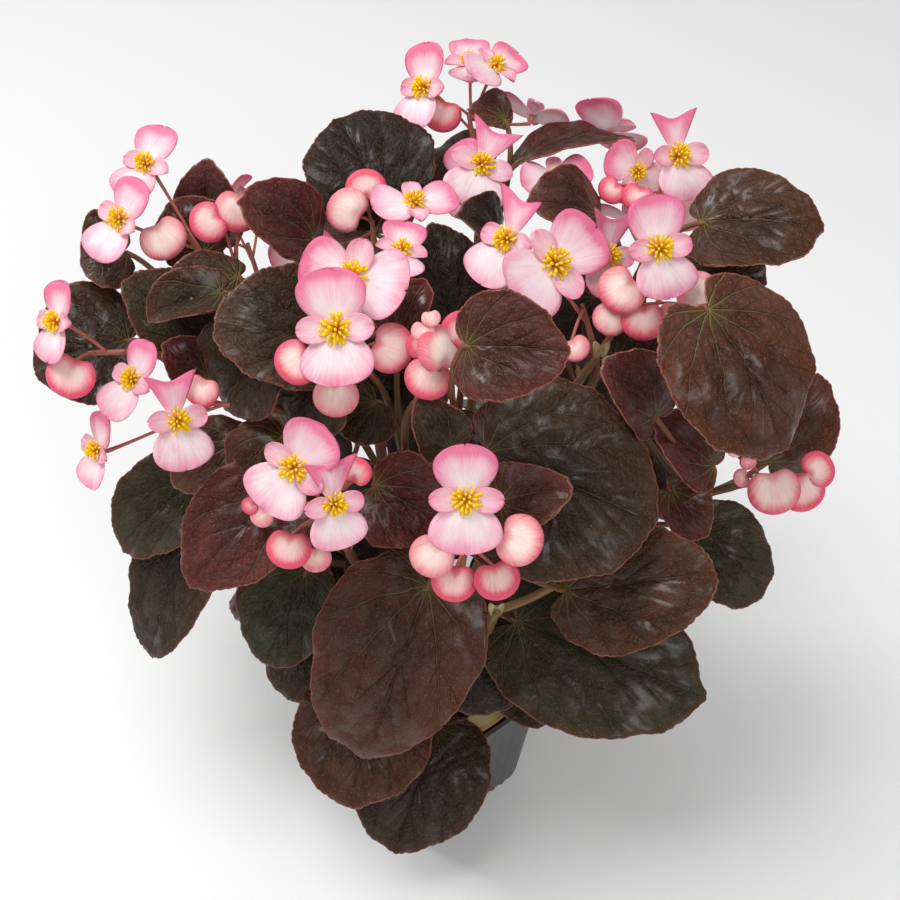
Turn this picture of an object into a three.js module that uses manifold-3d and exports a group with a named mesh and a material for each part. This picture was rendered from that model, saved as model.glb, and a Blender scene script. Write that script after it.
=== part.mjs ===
// A wax begonia in a square nursery pot: bronze leaves on forking stems and sprays of pink blooms.
// Millimetres, +Z up, origin at the middle of the underside of the pot, pot walls along X and Y.
import * as THREE from "three";
import Module from "manifold-3d";

const wasm = await Module();
wasm.setup();

// Pot and soil
const potHeight = 80;
const potFootHalf = 42;
const potMouthHalf = 50;
const potCornerRadius = 8;
const potWall = 1.4;
const potFloor = 2;
const rimHeight = 5;
const rimProud = 1.3;
const ribPitch = 8.8;
const ribProud = 0.9;
const ribHalf = 2.2;
const ribsPerSide = 8;
const soilHeight = 71;
const soilMound = 3;
const clearance = 0.3;
const holeDepth = 22;

// Stems, leaves and flowers
const stemRadius = 3.4;
const stemTopRadius = 2.1;
const neckLength = 5;
const petioleRadius = 1.6;
const largeLeaf = 55;
const smallLeaf = 38;
const leafMiddle = 0.41;
const leafHalf = 0.59;
const leafHub = 0.38;
const notchHalf = 2.6;
const toothDepth = 0.016;
const peduncleRadius = 1.3;
const pedicelRadius = 0.8;
const bladeThickness = 0.9;
const petalThickness = 0.8;
const seatHalf = 1.5;
const broadPetal = {
  length: 23,
  width: 28,
  lift: 0,
  outline: [[0.34, 0.72], [0.68, 1], [0.96, 0.56], [0.96, -0.56], [0.68, -1], [0.34, -0.72]],
};
// Some upper petals are folded, so that they end in two corners
const kiteOutline = [[0.4, 0.44], [0.72, 0.72], [0.98, 0.92], [0.98, -0.92], [0.72, -0.72], [0.4, -0.44]];
const narrowPetal = {
  length: 15.5,
  width: 10,
  lift: 7,
  outline: [[0.6, 1], [1, 0], [0.6, -1]],
};
const budLength = 20;
const budThickness = 7;
const anthersRadius = 6.4;
const anthersHeight = 7.5;

// The plant is laid out as a viewer sees it who stands before its front corner and looks down on it.
// Across runs to the viewer's right, near runs towards the viewer, and up is +Z.
const viewTurn = THREE.MathUtils.degToRad(51);
const viewPitch = THREE.MathUtils.degToRad(45);
const viewDistance = 728;
const viewAimUp = 275;
const viewAimAcross = 14.7;
const viewMiddle = 450;
const viewFocal = 1472;

const across = new THREE.Vector3(Math.cos(viewTurn), Math.sin(viewTurn), 0);
const near = new THREE.Vector3(Math.sin(viewTurn), -Math.cos(viewTurn), 0);
const up = new THREE.Vector3(0, 0, 1);
const toViewer = near.clone().multiplyScalar(Math.cos(viewPitch)).addScaledVector(up, Math.sin(viewPitch));
const viewUp = up.clone().multiplyScalar(Math.cos(viewPitch)).addScaledVector(near, -Math.sin(viewPitch));
const eye = up.clone().multiplyScalar(viewAimUp)
  .addScaledVector(across, viewAimAcross)
  .addScaledVector(toViewer, viewDistance);

// A point by its distances across, near and up from the middle of the pot's underside
function at(right, front, height) {
  return new THREE.Vector3()
    .addScaledVector(across, right)
    .addScaledVector(near, front)
    .addScaledVector(up, height);
}

// The way that a bloom or bud looks, by how far it turns off from the viewer, to the right and upwards
function turned(sideways, upwards) {
  return toViewer.clone().addScaledVector(across, sideways).addScaledVector(viewUp, upwards);
}

// A point by where the viewer sees it, in a square view 900 wide, and how near it is in millimetres
function seen(right, down, front) {
  const ray = toViewer.clone().negate()
    .addScaledVector(across, (right - viewMiddle) / viewFocal)
    .addScaledVector(viewUp, (viewMiddle - down) / viewFocal);
  const reach = (front - eye.dot(near)) / ray.dot(near);
  return eye.clone().addScaledVector(ray, reach);
}

// A closed body from its points and triangles
function body(points, faces) {
  const vertProperties = new Float32Array(points.length * 3);
  points.forEach((point, index) => point.toArray(vertProperties, index * 3));
  const triVerts = new Uint32Array(faces.flat());
  const made = new wasm.Manifold(new wasm.Mesh({ numProp: 3, vertProperties, triVerts }));
  if (made.volume() < 0) throw new Error("a body is inside out");
  return made;
}

// Rings of equal count, joined side to side, with a fan over each end
function loft(rings) {
  const points = rings.flat();
  const faces = tubeFaces(rings.length, rings[0].length, 0);
  const count = rings[0].length;
  for (let step = 1; step + 1 < count; step += 1) faces.push([0, step + 1, step]);
  return body(points, faces);
}

// The walls of a tube whose rings start at one point's number, and the fan that closes its far end
function tubeFaces(levels, count, first) {
  const faces = [];
  for (let level = 0; level + 1 < levels; level += 1) {
    for (let step = 0; step < count; step += 1) {
      const a = first + level * count + step;
      const b = first + level * count + ((step + 1) % count);
      faces.push([a, b, b + count], [a, b + count, a + count]);
    }
  }
  const last = first + (levels - 1) * count;
  for (let step = 1; step + 1 < count; step += 1) faces.push([last, last + step, last + step + 1]);
  return faces;
}

// Rings along a line of points: each size is a half width and a half thickness across the line
function ringsAlong(points, sizes, sides, firstSide, phase = 0) {
  const steps = points.slice(1).map((point, index) => point.clone().sub(points[index]).normalize());
  let side = firstSide.clone();
  return points.map((point, index) => {
    const before = steps[Math.max(0, index - 1)];
    const after = steps[Math.min(index, steps.length - 1)];
    const forward = before.clone().add(after).normalize();
    side = side.clone().addScaledVector(forward, -side.dot(forward)).normalize();
    const other = forward.clone().cross(side);
    const [wide, thick] = sizes[index];
    return Array.from({ length: sides }, (_, step) => {
      const angle = phase + (2 * Math.PI * step) / sides;
      return point.clone()
        .addScaledVector(side, wide * Math.cos(angle))
        .addScaledVector(other, thick * Math.sin(angle));
    });
  });
}

// A round rod along a line of points, thinning from the first radius to the last
function rod(points, firstRadius, lastRadius, sides) {
  const sizes = points.map((_, index) => {
    const radius = THREE.MathUtils.lerp(firstRadius, lastRadius, index / (points.length - 1));
    return [radius, radius];
  });
  return loft(ringsAlong(points, sizes, sides, new THREE.Vector3(0.3, 0.9, 0.1)));
}

// Points along a bent line that leaves one end, leans on the middle point and reaches the other end
function bend(start, middle, end, steps) {
  return new THREE.QuadraticBezierCurve3(start, middle, end).getPoints(steps);
}

// A frame for a flat thing that runs from one point to another and turns its face as asked
function facing(start, end, face, roll) {
  const along = end.clone().sub(start).normalize();
  const normal = face.clone().addScaledVector(along, -face.dot(along)).normalize();
  normal.applyAxisAngle(along, THREE.MathUtils.degToRad(roll));
  const side = along.clone().cross(normal).normalize();
  return { along, normal, side };
}

// The nearest place on a leafy stem for a petiole to leave from, a little below the leaf
function axil(lines, heart) {
  let best = null;
  let least = Infinity;
  lines.flatMap((line) => line.slice(1, -2)).forEach((point) => {
    const cost = point.distanceTo(heart) + 1.5 * Math.max(0, point.z - heart.z + 14);
    if (cost < least) {
      least = cost;
      best = point;
    }
  });
  return best;
}

// The outline of a leaf by the angle round it: an oval whose two lobes reach back past the petiole
function leafOutline(angle, tooth, scale, lean) {
  const share = leafMiddle - leafHalf * Math.cos(angle);
  const sideways = (Math.sin(angle) * (1 + 0.14 * Math.cos(angle)) + lean * Math.sin(angle / 2)) * tooth;
  return [leafHub + (share - leafHub) * scale, sideways * scale];
}

// A leaf on its petiole: an oval blade, notched at the petiole, with an arched midrib and a toothed,
// waved margin. Both faces are split into the same triangles.
function leafOn(lines, given) {
  const { heart, tip, width, arch = 4, cup = 3, fold = 0, wave = 1.6, roll = 0, lean = 0.05 } = given;
  const length = heart.distanceTo(tip);
  const middle = heart.clone().lerp(tip, 0.5);
  const outward = new THREE.Vector3(middle.x, middle.y, 0).normalize();
  const face = given.face ?? toViewer.clone().multiplyScalar(0.7)
    .addScaledVector(outward, 0.25)
    .addScaledVector(up, 0.3);
  const { along, normal, side } = facing(heart, tip, face, roll);
  const surface = ([share, sideways], ripple) => {
    const rise = arch * 4 * share * (1 - share) + cup * sideways * sideways + fold * Math.abs(sideways);
    return heart.clone()
      .addScaledVector(along, share * length)
      .addScaledVector(side, sideways * width * 0.5)
      .addScaledVector(normal, rise + ripple);
  };

  const rimCount = width > largeLeaf ? 14 : 10;
  const outline = [];
  for (let step = 0; step <= rimCount; step += 1) {
    const angle = (2 * Math.PI * step) / rimCount;
    const tooth = 1 + toothDepth * Math.cos(Math.PI * step);
    const place = leafOutline(angle, tooth, 1, lean);
    if (step === 0) place.splice(0, 2, 0, notchHalf / width);
    if (step === rimCount) place.splice(0, 2, 0, -notchHalf / width);
    outline.push(surface(place, wave * Math.sin(3 * angle + width)));
  }
  const inner = [];
  const ringed = width > smallLeaf;
  for (let step = 0; ringed && step < rimCount / 2; step += 1) {
    const angle = (4 * Math.PI * (step + 0.5)) / rimCount;
    inner.push(surface(leafOutline(angle, 1, 0.55, lean), 0));
  }
  const top = [...outline, ...inner, surface([leafHub, 0], 0)];
  const below = normal.clone().multiplyScalar(-bladeThickness);
  const bottom = top.map((point) => point.clone().add(below));

  const faces = [];
  const shift = top.length;
  const rim = outline.length;
  const hub = shift - 1;
  const both = (a, b, c) => faces.push([a, b, c], [a + shift, c + shift, b + shift]);
  for (let step = 0; step + 1 < rim; step += 1) {
    faces.push([step, step + shift, step + 1 + shift], [step, step + 1 + shift, step + 1]);
    if (!ringed) both(step, step + 1, hub);
  }
  if (!ringed) both(rim - 1, 0, hub);
  inner.forEach((_, step) => {
    const next = (step + 1) % inner.length;
    both(2 * step, 2 * step + 1, rim + step);
    both(2 * step + 1, 2 * step + 2, rim + step);
    both(rim + step, 2 * step + 2, rim + next);
    both(rim + step, rim + next, hub);
  });
  if (ringed) both(rim - 1, 0, rim);

  const start = given.from ?? axil(lines, heart);
  const reach = start.distanceTo(heart);
  const root = surface([-0.03, 0], -0.5 * bladeThickness);
  const lead = heart.clone().addScaledVector(along, -0.45 * reach);
  const hang = start.clone().lerp(heart, 0.5).lerp(lead, 0.4).addScaledVector(up, 0.06 * reach);
  const route = bend(root, hang, start, 2);
  const sizes = route.map(() => [petioleRadius, petioleRadius]);
  const rings = ringsAlong(route, sizes, 4, side, 0.75 * Math.PI);
  const mouth = [rim - 1, rim - 1 + shift, shift, 0];
  const first = 2 * shift;
  mouth.forEach((corner, step) => {
    const next = (step + 1) % 4;
    faces.push([corner, mouth[next], first + next], [corner, first + next, first + step]);
  });
  faces.push(...tubeFaces(rings.length, 4, first));
  return body([...top, ...bottom, ...rings.flat()], faces);
}

// A leafy stem: a main line from the soil, side branches, and its leaves with their petioles
function leafyStem(stem, ends) {
  const foot = at(stem.foot[0], stem.foot[1], soilHeight - holeDepth + 2 * clearance);
  const lines = [];
  const parts = [];
  ends.forEach((end, index) => {
    const main = index === 0;
    const start = main ? foot.clone().setZ(soilHeight + 6) : lines[0][Math.min(1 + index, 3)];
    const reach = start.distanceTo(end.top);
    const rising = start.clone().addScaledVector(up, (main ? 0.45 : 0.25) * reach);
    const arriving = end.top.clone().addScaledVector(end.heading, -0.2 * reach);
    const neck = end.top.clone().addScaledVector(end.heading, -neckLength);
    const line = new THREE.CubicBezierCurve3(start, rising, arriving, neck).getPoints(main ? 5 : 3);
    line.push(end.top);
    if (main) line.unshift(foot);
    lines.push(line);
    parts.push(rod(line, main ? stemRadius : stemTopRadius, stemTopRadius * 0.8, 5));
  });
  stem.leaves.forEach((given) => parts.push(leafOn(lines, given)));
  return parts.reduce((whole, part) => whole.add(part));
}

// The frame of a bloom: the way it faces, and its top and right as a viewer before it sees them
function bloomFrame(given) {
  const outward = new THREE.Vector3(given.centre.x, given.centre.y, 0).normalize();
  const face = (given.look ?? toViewer.clone().addScaledVector(outward, 0.3)).clone().normalize();
  const top = viewUp.clone().addScaledVector(face, -viewUp.dot(face)).normalize();
  top.applyAxisAngle(face, THREE.MathUtils.degToRad(-(given.spin ?? 0)));
  const right = top.clone().cross(face).normalize();
  return { size: 1, curl: 2.5, open: 14, ...given, face, top, right };
}

// An open bloom on its stalk: two broad and two narrow petals round a small square seat
function bloomSolid(given, fork) {
  const bloom = bloomFrame(given);
  const seat = bloom.centre.clone().addScaledVector(bloom.face, -1.2);
  const corner = (sideways, upwards) => seat.clone()
    .addScaledVector(bloom.right, sideways * seatHalf)
    .addScaledVector(bloom.top, upwards * seatHalf);
  const top = [corner(1, 1), corner(-1, 1), corner(-1, -1), corner(1, -1)];
  const bottom = top.map((point) => point.clone().addScaledVector(bloom.face, -petalThickness));
  const faces = [];
  const outline = [];
  const add = (point, below) => {
    top.push(point);
    bottom.push(point.clone().addScaledVector(below, -petalThickness));
    return top.length - 1;
  };
  [0, 270, 180, 90].forEach((turn, index) => {
    const petal = index % 2 === 0 ? broadPetal : narrowPetal;
    const angle = THREE.MathUtils.degToRad(turn);
    const rise = THREE.MathUtils.degToRad(bloom.open + petal.lift);
    const out = bloom.top.clone().multiplyScalar(Math.cos(angle))
      .addScaledVector(bloom.right, Math.sin(angle));
    const along = out.clone().multiplyScalar(Math.cos(rise)).addScaledVector(bloom.face, Math.sin(rise));
    const side = out.clone().cross(bloom.face).normalize();
    const normal = side.clone().cross(along).normalize();
    const place = (share, sideways) => seat.clone()
      .addScaledVector(along, share * petal.length * bloom.size)
      .addScaledVector(side, sideways * petal.width * 0.5 * bloom.size)
      .addScaledVector(normal, -bloom.curl * share * share + 2.2 * sideways * sideways * share);
    const shape = index === 0 && bloom.kite ? kiteOutline : petal.outline;
    const rim = shape.map(([share, sideways]) => add(place(share, sideways), normal));
    const lobe = [index, ...rim, (index + 1) % 4];
    outline.push(index, ...rim);
    if (petal === broadPetal) {
      const middle = add(place(0.55, 0), normal);
      lobe.forEach((point, step) => faces.push([middle, point, lobe[(step + 1) % lobe.length]]));
    } else {
      const tip = lobe[2];
      faces.push([tip, lobe[3], lobe[4]], [tip, lobe[4], lobe[0]], [tip, lobe[0], lobe[1]]);
    }
  });
  const shift = top.length;
  const under = faces.map(([a, b, c]) => [a + shift, c + shift, b + shift]);
  faces.push([0, 1, 2], [0, 2, 3], ...under);
  outline.forEach((point, step) => {
    const next = outline[(step + 1) % outline.length];
    faces.push([point, point + shift, next + shift], [point, next + shift, next]);
  });

  const back = bloom.centre.clone().addScaledVector(bloom.face, -6);
  const route = [back, fork];
  const sizes = route.map(() => [pedicelRadius, pedicelRadius]);
  const rings = ringsAlong(route, sizes, 4, bloom.right, 0.25 * Math.PI);
  const first = 2 * shift;
  const mouth = [shift + 3, shift + 2, shift + 1, shift];
  mouth.forEach((point, step) => {
    const next = (step + 1) % 4;
    faces.push([point, mouth[next], first + next], [point, first + next, first + step]);
  });
  faces.push(...tubeFaces(rings.length, 4, first));
  return body([...top, ...bottom, ...rings.flat()], faces);
}

// The ball of stamens, knobbed like the anthers that cover it
function stamens(given) {
  const bloom = bloomFrame(given);
  const around = 4;
  const rings = [[0.22, 0.06], [1, 0.5], [0.62, 0.95]].map(([radius, height], level) => (
    Array.from({ length: around }, (_, step) => {
      const angle = (2 * Math.PI * (step + 0.5 * (level % 2))) / around;
      const knob = level === 0 ? 1 : 1 + 0.1 * (-1) ** step;
      const reach = radius * knob * anthersRadius * bloom.size;
      return bloom.centre.clone()
        .addScaledVector(bloom.right, reach * Math.cos(angle))
        .addScaledVector(bloom.top, reach * Math.sin(angle))
        .addScaledVector(bloom.face, clearance + height * anthersHeight * bloom.size);
    })
  ));
  return loft(rings);
}

// A flat two-valved bud on its stalk, broader than long
function budSolid(given, fork) {
  const face = (given.look ?? toViewer).clone().normalize();
  const size = given.size ?? 1;
  const top = viewUp.clone().addScaledVector(face, -viewUp.dot(face)).normalize();
  top.applyAxisAngle(face, THREE.MathUtils.degToRad(-given.spin));
  const side = top.clone().cross(face).normalize();
  const shape = [[0.5, 0.42, 0.4], [0.2, 1, 1], [-0.26, 0.84, 0.9], [-0.5, 0, 0]];
  const points = shape.map(([share]) => given.centre.clone().addScaledVector(top, share * budLength * size));
  const base = points.pop();
  const sizes = shape.slice(0, -1).map(([, wide, thick]) => (
    [wide * 0.56 * budLength * size, thick * 0.5 * budThickness * size]
  ));
  const stalk = [base, fork];
  const route = [...points, ...stalk];
  stalk.forEach(() => sizes.push([pedicelRadius, pedicelRadius]));
  return loft(ringsAlong(route, sizes, 4, side));
}

// The way that a spray's stalk leaves the end of its leafy stem
function heading(spray) {
  return spray.fork.clone().sub(spray.from).normalize();
}

// A spray: its stalk, and a short stalk to each bloom and bud
function spraySolid(spray) {
  const start = spray.from.clone().addScaledVector(heading(spray), clearance);
  const line = [start, spray.fork];
  const stalk = rod(line, peduncleRadius, peduncleRadius * 0.8, 4);
  const count = spray.blooms.length + spray.buds.length;
  const place = (index) => start.clone().lerp(spray.fork, 0.35 + (0.62 * (index + 0.5)) / count);
  const blooms = spray.blooms.map((given, index) => bloomSolid(given, place(index)));
  const buds = spray.buds.map((given, index) => budSolid(given, place(index + spray.blooms.length)));
  return [...blooms, ...buds].reduce((whole, part) => whole.add(part), stalk);
}

const leaf = (heart, tip, width, more = {}) => ({ heart, tip, width, ...more });
const bloom = (centre, spin, more = {}) => ({ centre, spin, ...more });
const bud = (centre, spin, more = {}) => ({ centre, spin, ...more });

// Leafy stems, each with the place of its foot in the soil, across and near, and its leaves
const stems = {
  front: {
    foot: [-4, 22],
    leaves: [
      leaf(seen(428, 586, 62), seen(366, 758, 105), 82, { arch: 7, cup: -3, lean: 0.14 }),
      leaf(seen(376, 692, 52), seen(350, 806, 98), 75, { arch: 6 }),
      leaf(seen(436, 728, 44), seen(394, 850, 92), 80, { arch: 8, cup: -4 }),
      leaf(seen(306, 572, 24), seen(266, 664, 50), 54),
      leaf(seen(375, 486, 42), seen(440, 520, 52), 46, { cup: 8 }),
      leaf(seen(450, 448, 53), seen(418, 400, 46), 26, { cup: 6 }),
      leaf(seen(376, 402, 12), seen(338, 432, 22), 40),
      leaf(seen(400, 335, -8), seen(425, 280, -22), 28, { fold: 6 }),
    ],
  },
  right_front: {
    foot: [16, 18],
    shoots: [seen(500, 470, 42)],
    leaves: [
      leaf(seen(486, 452, 38), seen(655, 524, 64), 94, { arch: 8, cup: -4 }),
      leaf(seen(466, 346, 53), seen(568, 352, 66), 47, { arch: 5, cup: 7 }),
      leaf(seen(500, 500, 60), seen(570, 486, 72), 33, { cup: 6 }),
      leaf(seen(566, 590, 58), seen(716, 572, 70), 64, { arch: 8 }),
      leaf(seen(518, 622, 40), seen(702, 696, 72), 84, { arch: 6, cup: -3 }),
      leaf(seen(485, 640, 32), seen(480, 715, 52), 26, { cup: 6 }),
    ],
  },
  right: {
    foot: [28, 4],
    leaves: [
      leaf(seen(708, 310, 34), seen(782, 450, 64), 69, { arch: 9, cup: -3 }),
      leaf(seen(713, 466, 16), seen(655, 425, 13), 40, { cup: 6 }),
      leaf(seen(656, 417, 22), seen(606, 360, 18), 38, { cup: 6 }),
      leaf(seen(670, 490, 16), seen(706, 536, 30), 30),
      leaf(seen(692, 530, 2), seen(765, 592, 20), 54, { arch: 6 }),
      leaf(seen(768, 462, -10), seen(818, 376, -26), 46),
      leaf(seen(615, 360, -16), seen(640, 315, -30), 46),
      leaf(at(62, -8, 150), at(118, 2, 128), 52),
    ],
  },
  right_back: {
    foot: [20, -16],
    leaves: [
      leaf(seen(702, 222, -48), seen(822, 230, -30), 54, { arch: 6 }),
      leaf(seen(690, 268, -42), seen(766, 282, -26), 40),
      leaf(seen(598, 215, -70), seen(530, 203, -58), 40),
      leaf(at(70, -70, 250), at(140, -100, 225), 62),
      leaf(at(60, -50, 170), at(125, -70, 130), 64),
      leaf(at(84, -96, 200), at(140, -140, 160), 66, { arch: 8 }),
      leaf(at(70, -70, 300), at(112, -128, 284), 56, { arch: 6 }),
    ],
  },
  back: {
    foot: [6, -28],
    leaves: [
      leaf(seen(523, 158, -118), seen(634, 140, -126), 50, { roll: -42, arch: 6 }),
      leaf(seen(470, 178, -128), seen(432, 148, -150), 46),
      leaf(seen(505, 120, -136), seen(468, 108, -144), 22),
      leaf(seen(450, 330, -38), seen(430, 225, -60), 48),
      leaf(seen(505, 250, -74), seen(462, 215, -62), 40),
      leaf(at(10, -110, 280), at(60, -175, 235), 66, { arch: 8 }),
      leaf(at(-20, -100, 210), at(-30, -175, 170), 70, { arch: 8 }),
      leaf(at(30, -70, 150), at(55, -140, 110), 72, { arch: 8 }),
      leaf(at(-24, -122, 316), at(-60, -180, 298), 58, { arch: 6 }),
    ],
  },
  left_back: {
    foot: [-12, -22],
    leaves: [
      leaf(seen(385, 205, -98), seen(338, 120, -142), 68, { arch: 7 }),
      leaf(seen(316, 240, -68), seen(238, 202, -60), 42, { arch: 5 }),
      leaf(seen(350, 292, -48), seen(378, 245, -62), 38),
      leaf(at(-60, -110, 260), at(-105, -165, 225), 62, { arch: 7 }),
      leaf(at(-50, -70, 160), at(-95, -125, 115), 68, { arch: 8 }),
      leaf(at(-56, -84, 236), at(-116, -130, 206), 62, { arch: 8 }),
    ],
  },
  left_far: {
    foot: [-26, -10],
    leaves: [
      leaf(seen(215, 237, -112), seen(205, 160, -124), 38),
      leaf(seen(205, 252, -84), seen(170, 202, -98), 40),
      leaf(seen(125, 252, -82), seen(80, 262, -78), 46),
      leaf(seen(215, 345, -44), seen(125, 282, -48), 46),
      leaf(seen(129, 340, -44), seen(34, 366, -34), 66, { arch: 5 }),
      leaf(seen(238, 277, -48), seen(162, 308, -34), 34),
      leaf(at(-90, -60, 190), at(-160, -80, 150), 64, { arch: 8 }),
    ],
  },
  left: {
    foot: [-28, 6],
    leaves: [
      leaf(seen(330, 335, -6), seen(213, 335, 8), 60, { arch: 6 }),
      leaf(seen(222, 292, -24), seen(147, 318, -16), 26, { fold: 5 }),
      leaf(seen(205, 374, -18), seen(163, 346, -14), 28),
      leaf(seen(238, 440, 4), seen(175, 486, 16), 36),
      leaf(seen(195, 482, -8), seen(119, 547, 8), 52),
      leaf(seen(202, 524, 8), seen(150, 656, 38), 47, { arch: 6 }),
    ],
  },
  left_front: {
    foot: [-18, 16],
    leaves: [
      leaf(seen(292, 486, 38), seen(190, 584, 70), 54, { arch: 7 }),
      leaf(seen(282, 436, 24), seen(252, 500, 42), 42),
    ],
  },
};

// Sprays, each with the leafy stem that carries it, the end of that stem and the fork of its stalk
const sprays = [
  {
    name: "spray_left_high", stem: "left_far", from: seen(222, 280, -76), fork: seen(184, 232, -80),
    blooms: [
      bloom(seen(146, 164, -98), 22, { size: 0.88, look: turned(-0.35, 0.35) }),
      bloom(seen(120, 220, -72), 30, { size: 0.95, look: turned(-0.55, 0.3) }),
    ],
    buds: [bud(seen(163, 238, -72), 150, { size: 1.15 })],
  },
  {
    name: "spray_left_inner", stem: "left_far", from: seen(236, 292, -66), fork: seen(236, 246, -74),
    blooms: [],
    buds: [bud(seen(209, 222, -74), 240), bud(seen(238, 210, -80), 190, { size: 1.15 })],
  },
  {
    name: "spray_left_tip", stem: "left_far", from: seen(125, 352, -20), fork: seen(88, 353, -18),
    blooms: [bloom(seen(56, 322, -8), 10, { size: 0.82, look: turned(-0.9, 0.15) })],
    buds: [bud(seen(71, 375, 2), 200, { size: 1.15 })],
  },
  {
    name: "spray_left_low", stem: "left", from: seen(262, 408, 10), fork: seen(196, 402, 16),
    blooms: [
      bloom(seen(133, 380, 6), 25, { size: 0.86, look: turned(-0.7, 0.4) }),
      bloom(seen(177, 421, 32), -10, { size: 0.95, look: turned(0.7, 0.1), kite: 1 }),
      bloom(seen(97, 450, 14), 20, { size: 0.8, look: turned(-1.1, 0.1) }),
    ],
    buds: [bud(seen(202, 390, 14), 200, { size: 0.8 })],
  },
  {
    name: "spray_front_left", stem: "left_front", from: seen(336, 528, 52), fork: seen(322, 502, 66),
    blooms: [
      bloom(seen(294, 468, 68), 40),
      bloom(seen(334, 504, 78), -12, { size: 0.9, look: turned(0.5, -0.1), kite: 1 }),
    ],
    buds: [
      bud(seen(289, 548, 76), 190), bud(seen(316, 558, 72), 170, { size: 0.7 }),
      bud(seen(356, 472, 62), 20, { size: 0.7 }),
    ],
  },
  {
    name: "spray_front", stem: "front", from: seen(462, 566, 68), fork: seen(468, 540, 84),
    blooms: [bloom(seen(466, 499, 92), 0)],
    buds: [
      bud(seen(432, 556, 86), 215), bud(seen(454, 581, 88), 190), bud(seen(497, 579, 94), 165),
      bud(seen(519, 540, 98), 110, { size: 1.1 }),
    ],
  },
  {
    name: "spray_middle", stem: "front", from: seen(374, 378, 8), fork: seen(350, 350, 14),
    blooms: [
      bloom(seen(337, 329, 30), 0, { size: 1.1 }),
      bloom(seen(353, 276, 4), -75, { size: 1.05, look: turned(0, 0.2) }),
    ],
    buds: [
      bud(seen(297, 362, 36), 230), bud(seen(390, 348, 22), 110, { size: 1.1 }),
      bud(seen(336, 396, 34), 180),
    ],
  },
  {
    name: "spray_centre", stem: "front", from: seen(414, 404, 26), fork: seen(438, 372, 34),
    blooms: [],
    buds: [
      bud(seen(428, 378, 42), 200), bud(seen(439, 350, 40), 350, { size: 1.15, look: turned(1, 0.1) }),
      bud(seen(464, 333, 33), 25, { size: 1 }), bud(seen(421, 345, 32), 330, { size: 0.65 }),
    ],
  },
  {
    name: "spray_white", stem: "left_back", from: seen(392, 262, -58), fork: seen(402, 240, -62),
    blooms: [
      bloom(seen(402, 250, -42), 10, { size: 0.75, look: turned(0.2, 0.7) }),
      bloom(seen(415, 203, -78), 80, { size: 0.9, look: turned(0.1, 0.9) }),
    ],
    buds: [],
  },
  {
    name: "spray_back_bud", stem: "left_back", from: seen(374, 240, -82), fork: seen(372, 220, -88),
    blooms: [bloom(seen(303, 252, -86), 60, { size: 0.75, look: turned(0, 0.6) })],
    buds: [bud(seen(366, 188, -92), 0), bud(seen(348, 210, -82), 300, { size: 1.1 })],
  },
  {
    name: "spray_back_low", stem: "back", from: seen(482, 232, -88), fork: seen(476, 202, -98),
    blooms: [
      bloom(seen(468, 178, -108), -15, { size: 0.85, look: turned(-0.8, 0.1) }),
      bloom(seen(482, 165, -106), 22, { look: turned(0.15, 0.1), kite: 1 }),
    ],
    buds: [],
  },
  {
    name: "spray_back_high", stem: "back", from: seen(474, 142, -142), fork: seen(468, 112, -152),
    blooms: [
      bloom(seen(424, 88, -150), 10, { size: 0.95, look: turned(-0.9, 0.1) }),
      bloom(seen(470, 62, -166), 0, { size: 0.8, look: turned(0, 0.8) }),
      bloom(seen(496, 66, -156), 60, { size: 0.8, look: turned(0.5, 0.7) }),
      bloom(seen(534, 114, -158), 20, { size: 0.85, look: at(0.5, -0.8, 0.6), away: 1 }),
    ],
    buds: [bud(seen(442, 114, -148), 200)],
  },
  {
    name: "spray_right_high", stem: "right_back", from: seen(652, 226, -92), fork: seen(656, 192, -94),
    blooms: [
      bloom(seen(678, 156, -98), -11, { look: turned(0.4, 0), kite: 1 }),
      bloom(seen(637, 172, -100), -60, { size: 0.75, look: turned(0.3, -0.2) }),
      bloom(seen(557, 178, -93), 80, { size: 0.75, look: turned(0, 0.6) }),
      bloom(seen(610, 130, -152), 0, { size: 0.95, look: at(0.3, -0.9, 0.4), away: 1 }),
    ],
    buds: [
      bud(seen(684, 208, -92), 170, { size: 1.25 }), bud(seen(638, 197, -84), 200, { size: 0.8 }),
      bud(seen(612, 190, -88), 230, { size: 0.7 }),
    ],
  },
  {
    name: "spray_right_middle", stem: "right_back", from: seen(592, 340, -14), fork: seen(582, 304, -22),
    blooms: [
      bloom(seen(555, 264, -22), 52, { size: 1.15 }),
      bloom(seen(507, 240, -40), 25, { look: turned(-0.8, 0.2), kite: 1 }),
    ],
    buds: [bud(seen(576, 348, 6), 150, { size: 0.65 })],
  },
  {
    name: "spray_right_inner", stem: "right_back", from: seen(600, 352, -8), fork: seen(640, 292, -14),
    blooms: [
      bloom(seen(608, 256, -38), 0, { size: 0.9, look: turned(0.6, 0), kite: 1 }),
      bloom(seen(659, 249, -12), -12),
    ],
    buds: [
      bud(seen(622, 290, -8), 230, { size: 1.1 }), bud(seen(643, 320, -2), 185), bud(seen(680, 316, -4), 165),
      bud(seen(697, 293, -10), 120), bud(seen(610, 319, -4), 215, { size: 0.8 }),
    ],
  },
  {
    name: "spray_right_tip", stem: "right", from: seen(748, 484, 14), fork: seen(764, 482, 22),
    blooms: [],
    buds: [
      bud(seen(774, 490, 28), 170, { size: 1.25 }), bud(seen(802, 490, 26), 160, { size: 1.1 }),
      bud(seen(817, 470, 20), 70, { size: 0.9 }),
    ],
  },
  {
    name: "spray_far_right", stem: "right_back", from: at(120, -104, 268), fork: at(138, -118, 292),
    blooms: [
      bloom(at(150, -135, 312), 0, { look: at(0.6, -0.6, 0.6) }),
      bloom(at(116, -160, 300), 40, { look: at(0.1, -0.8, 0.7) }),
    ],
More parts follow.
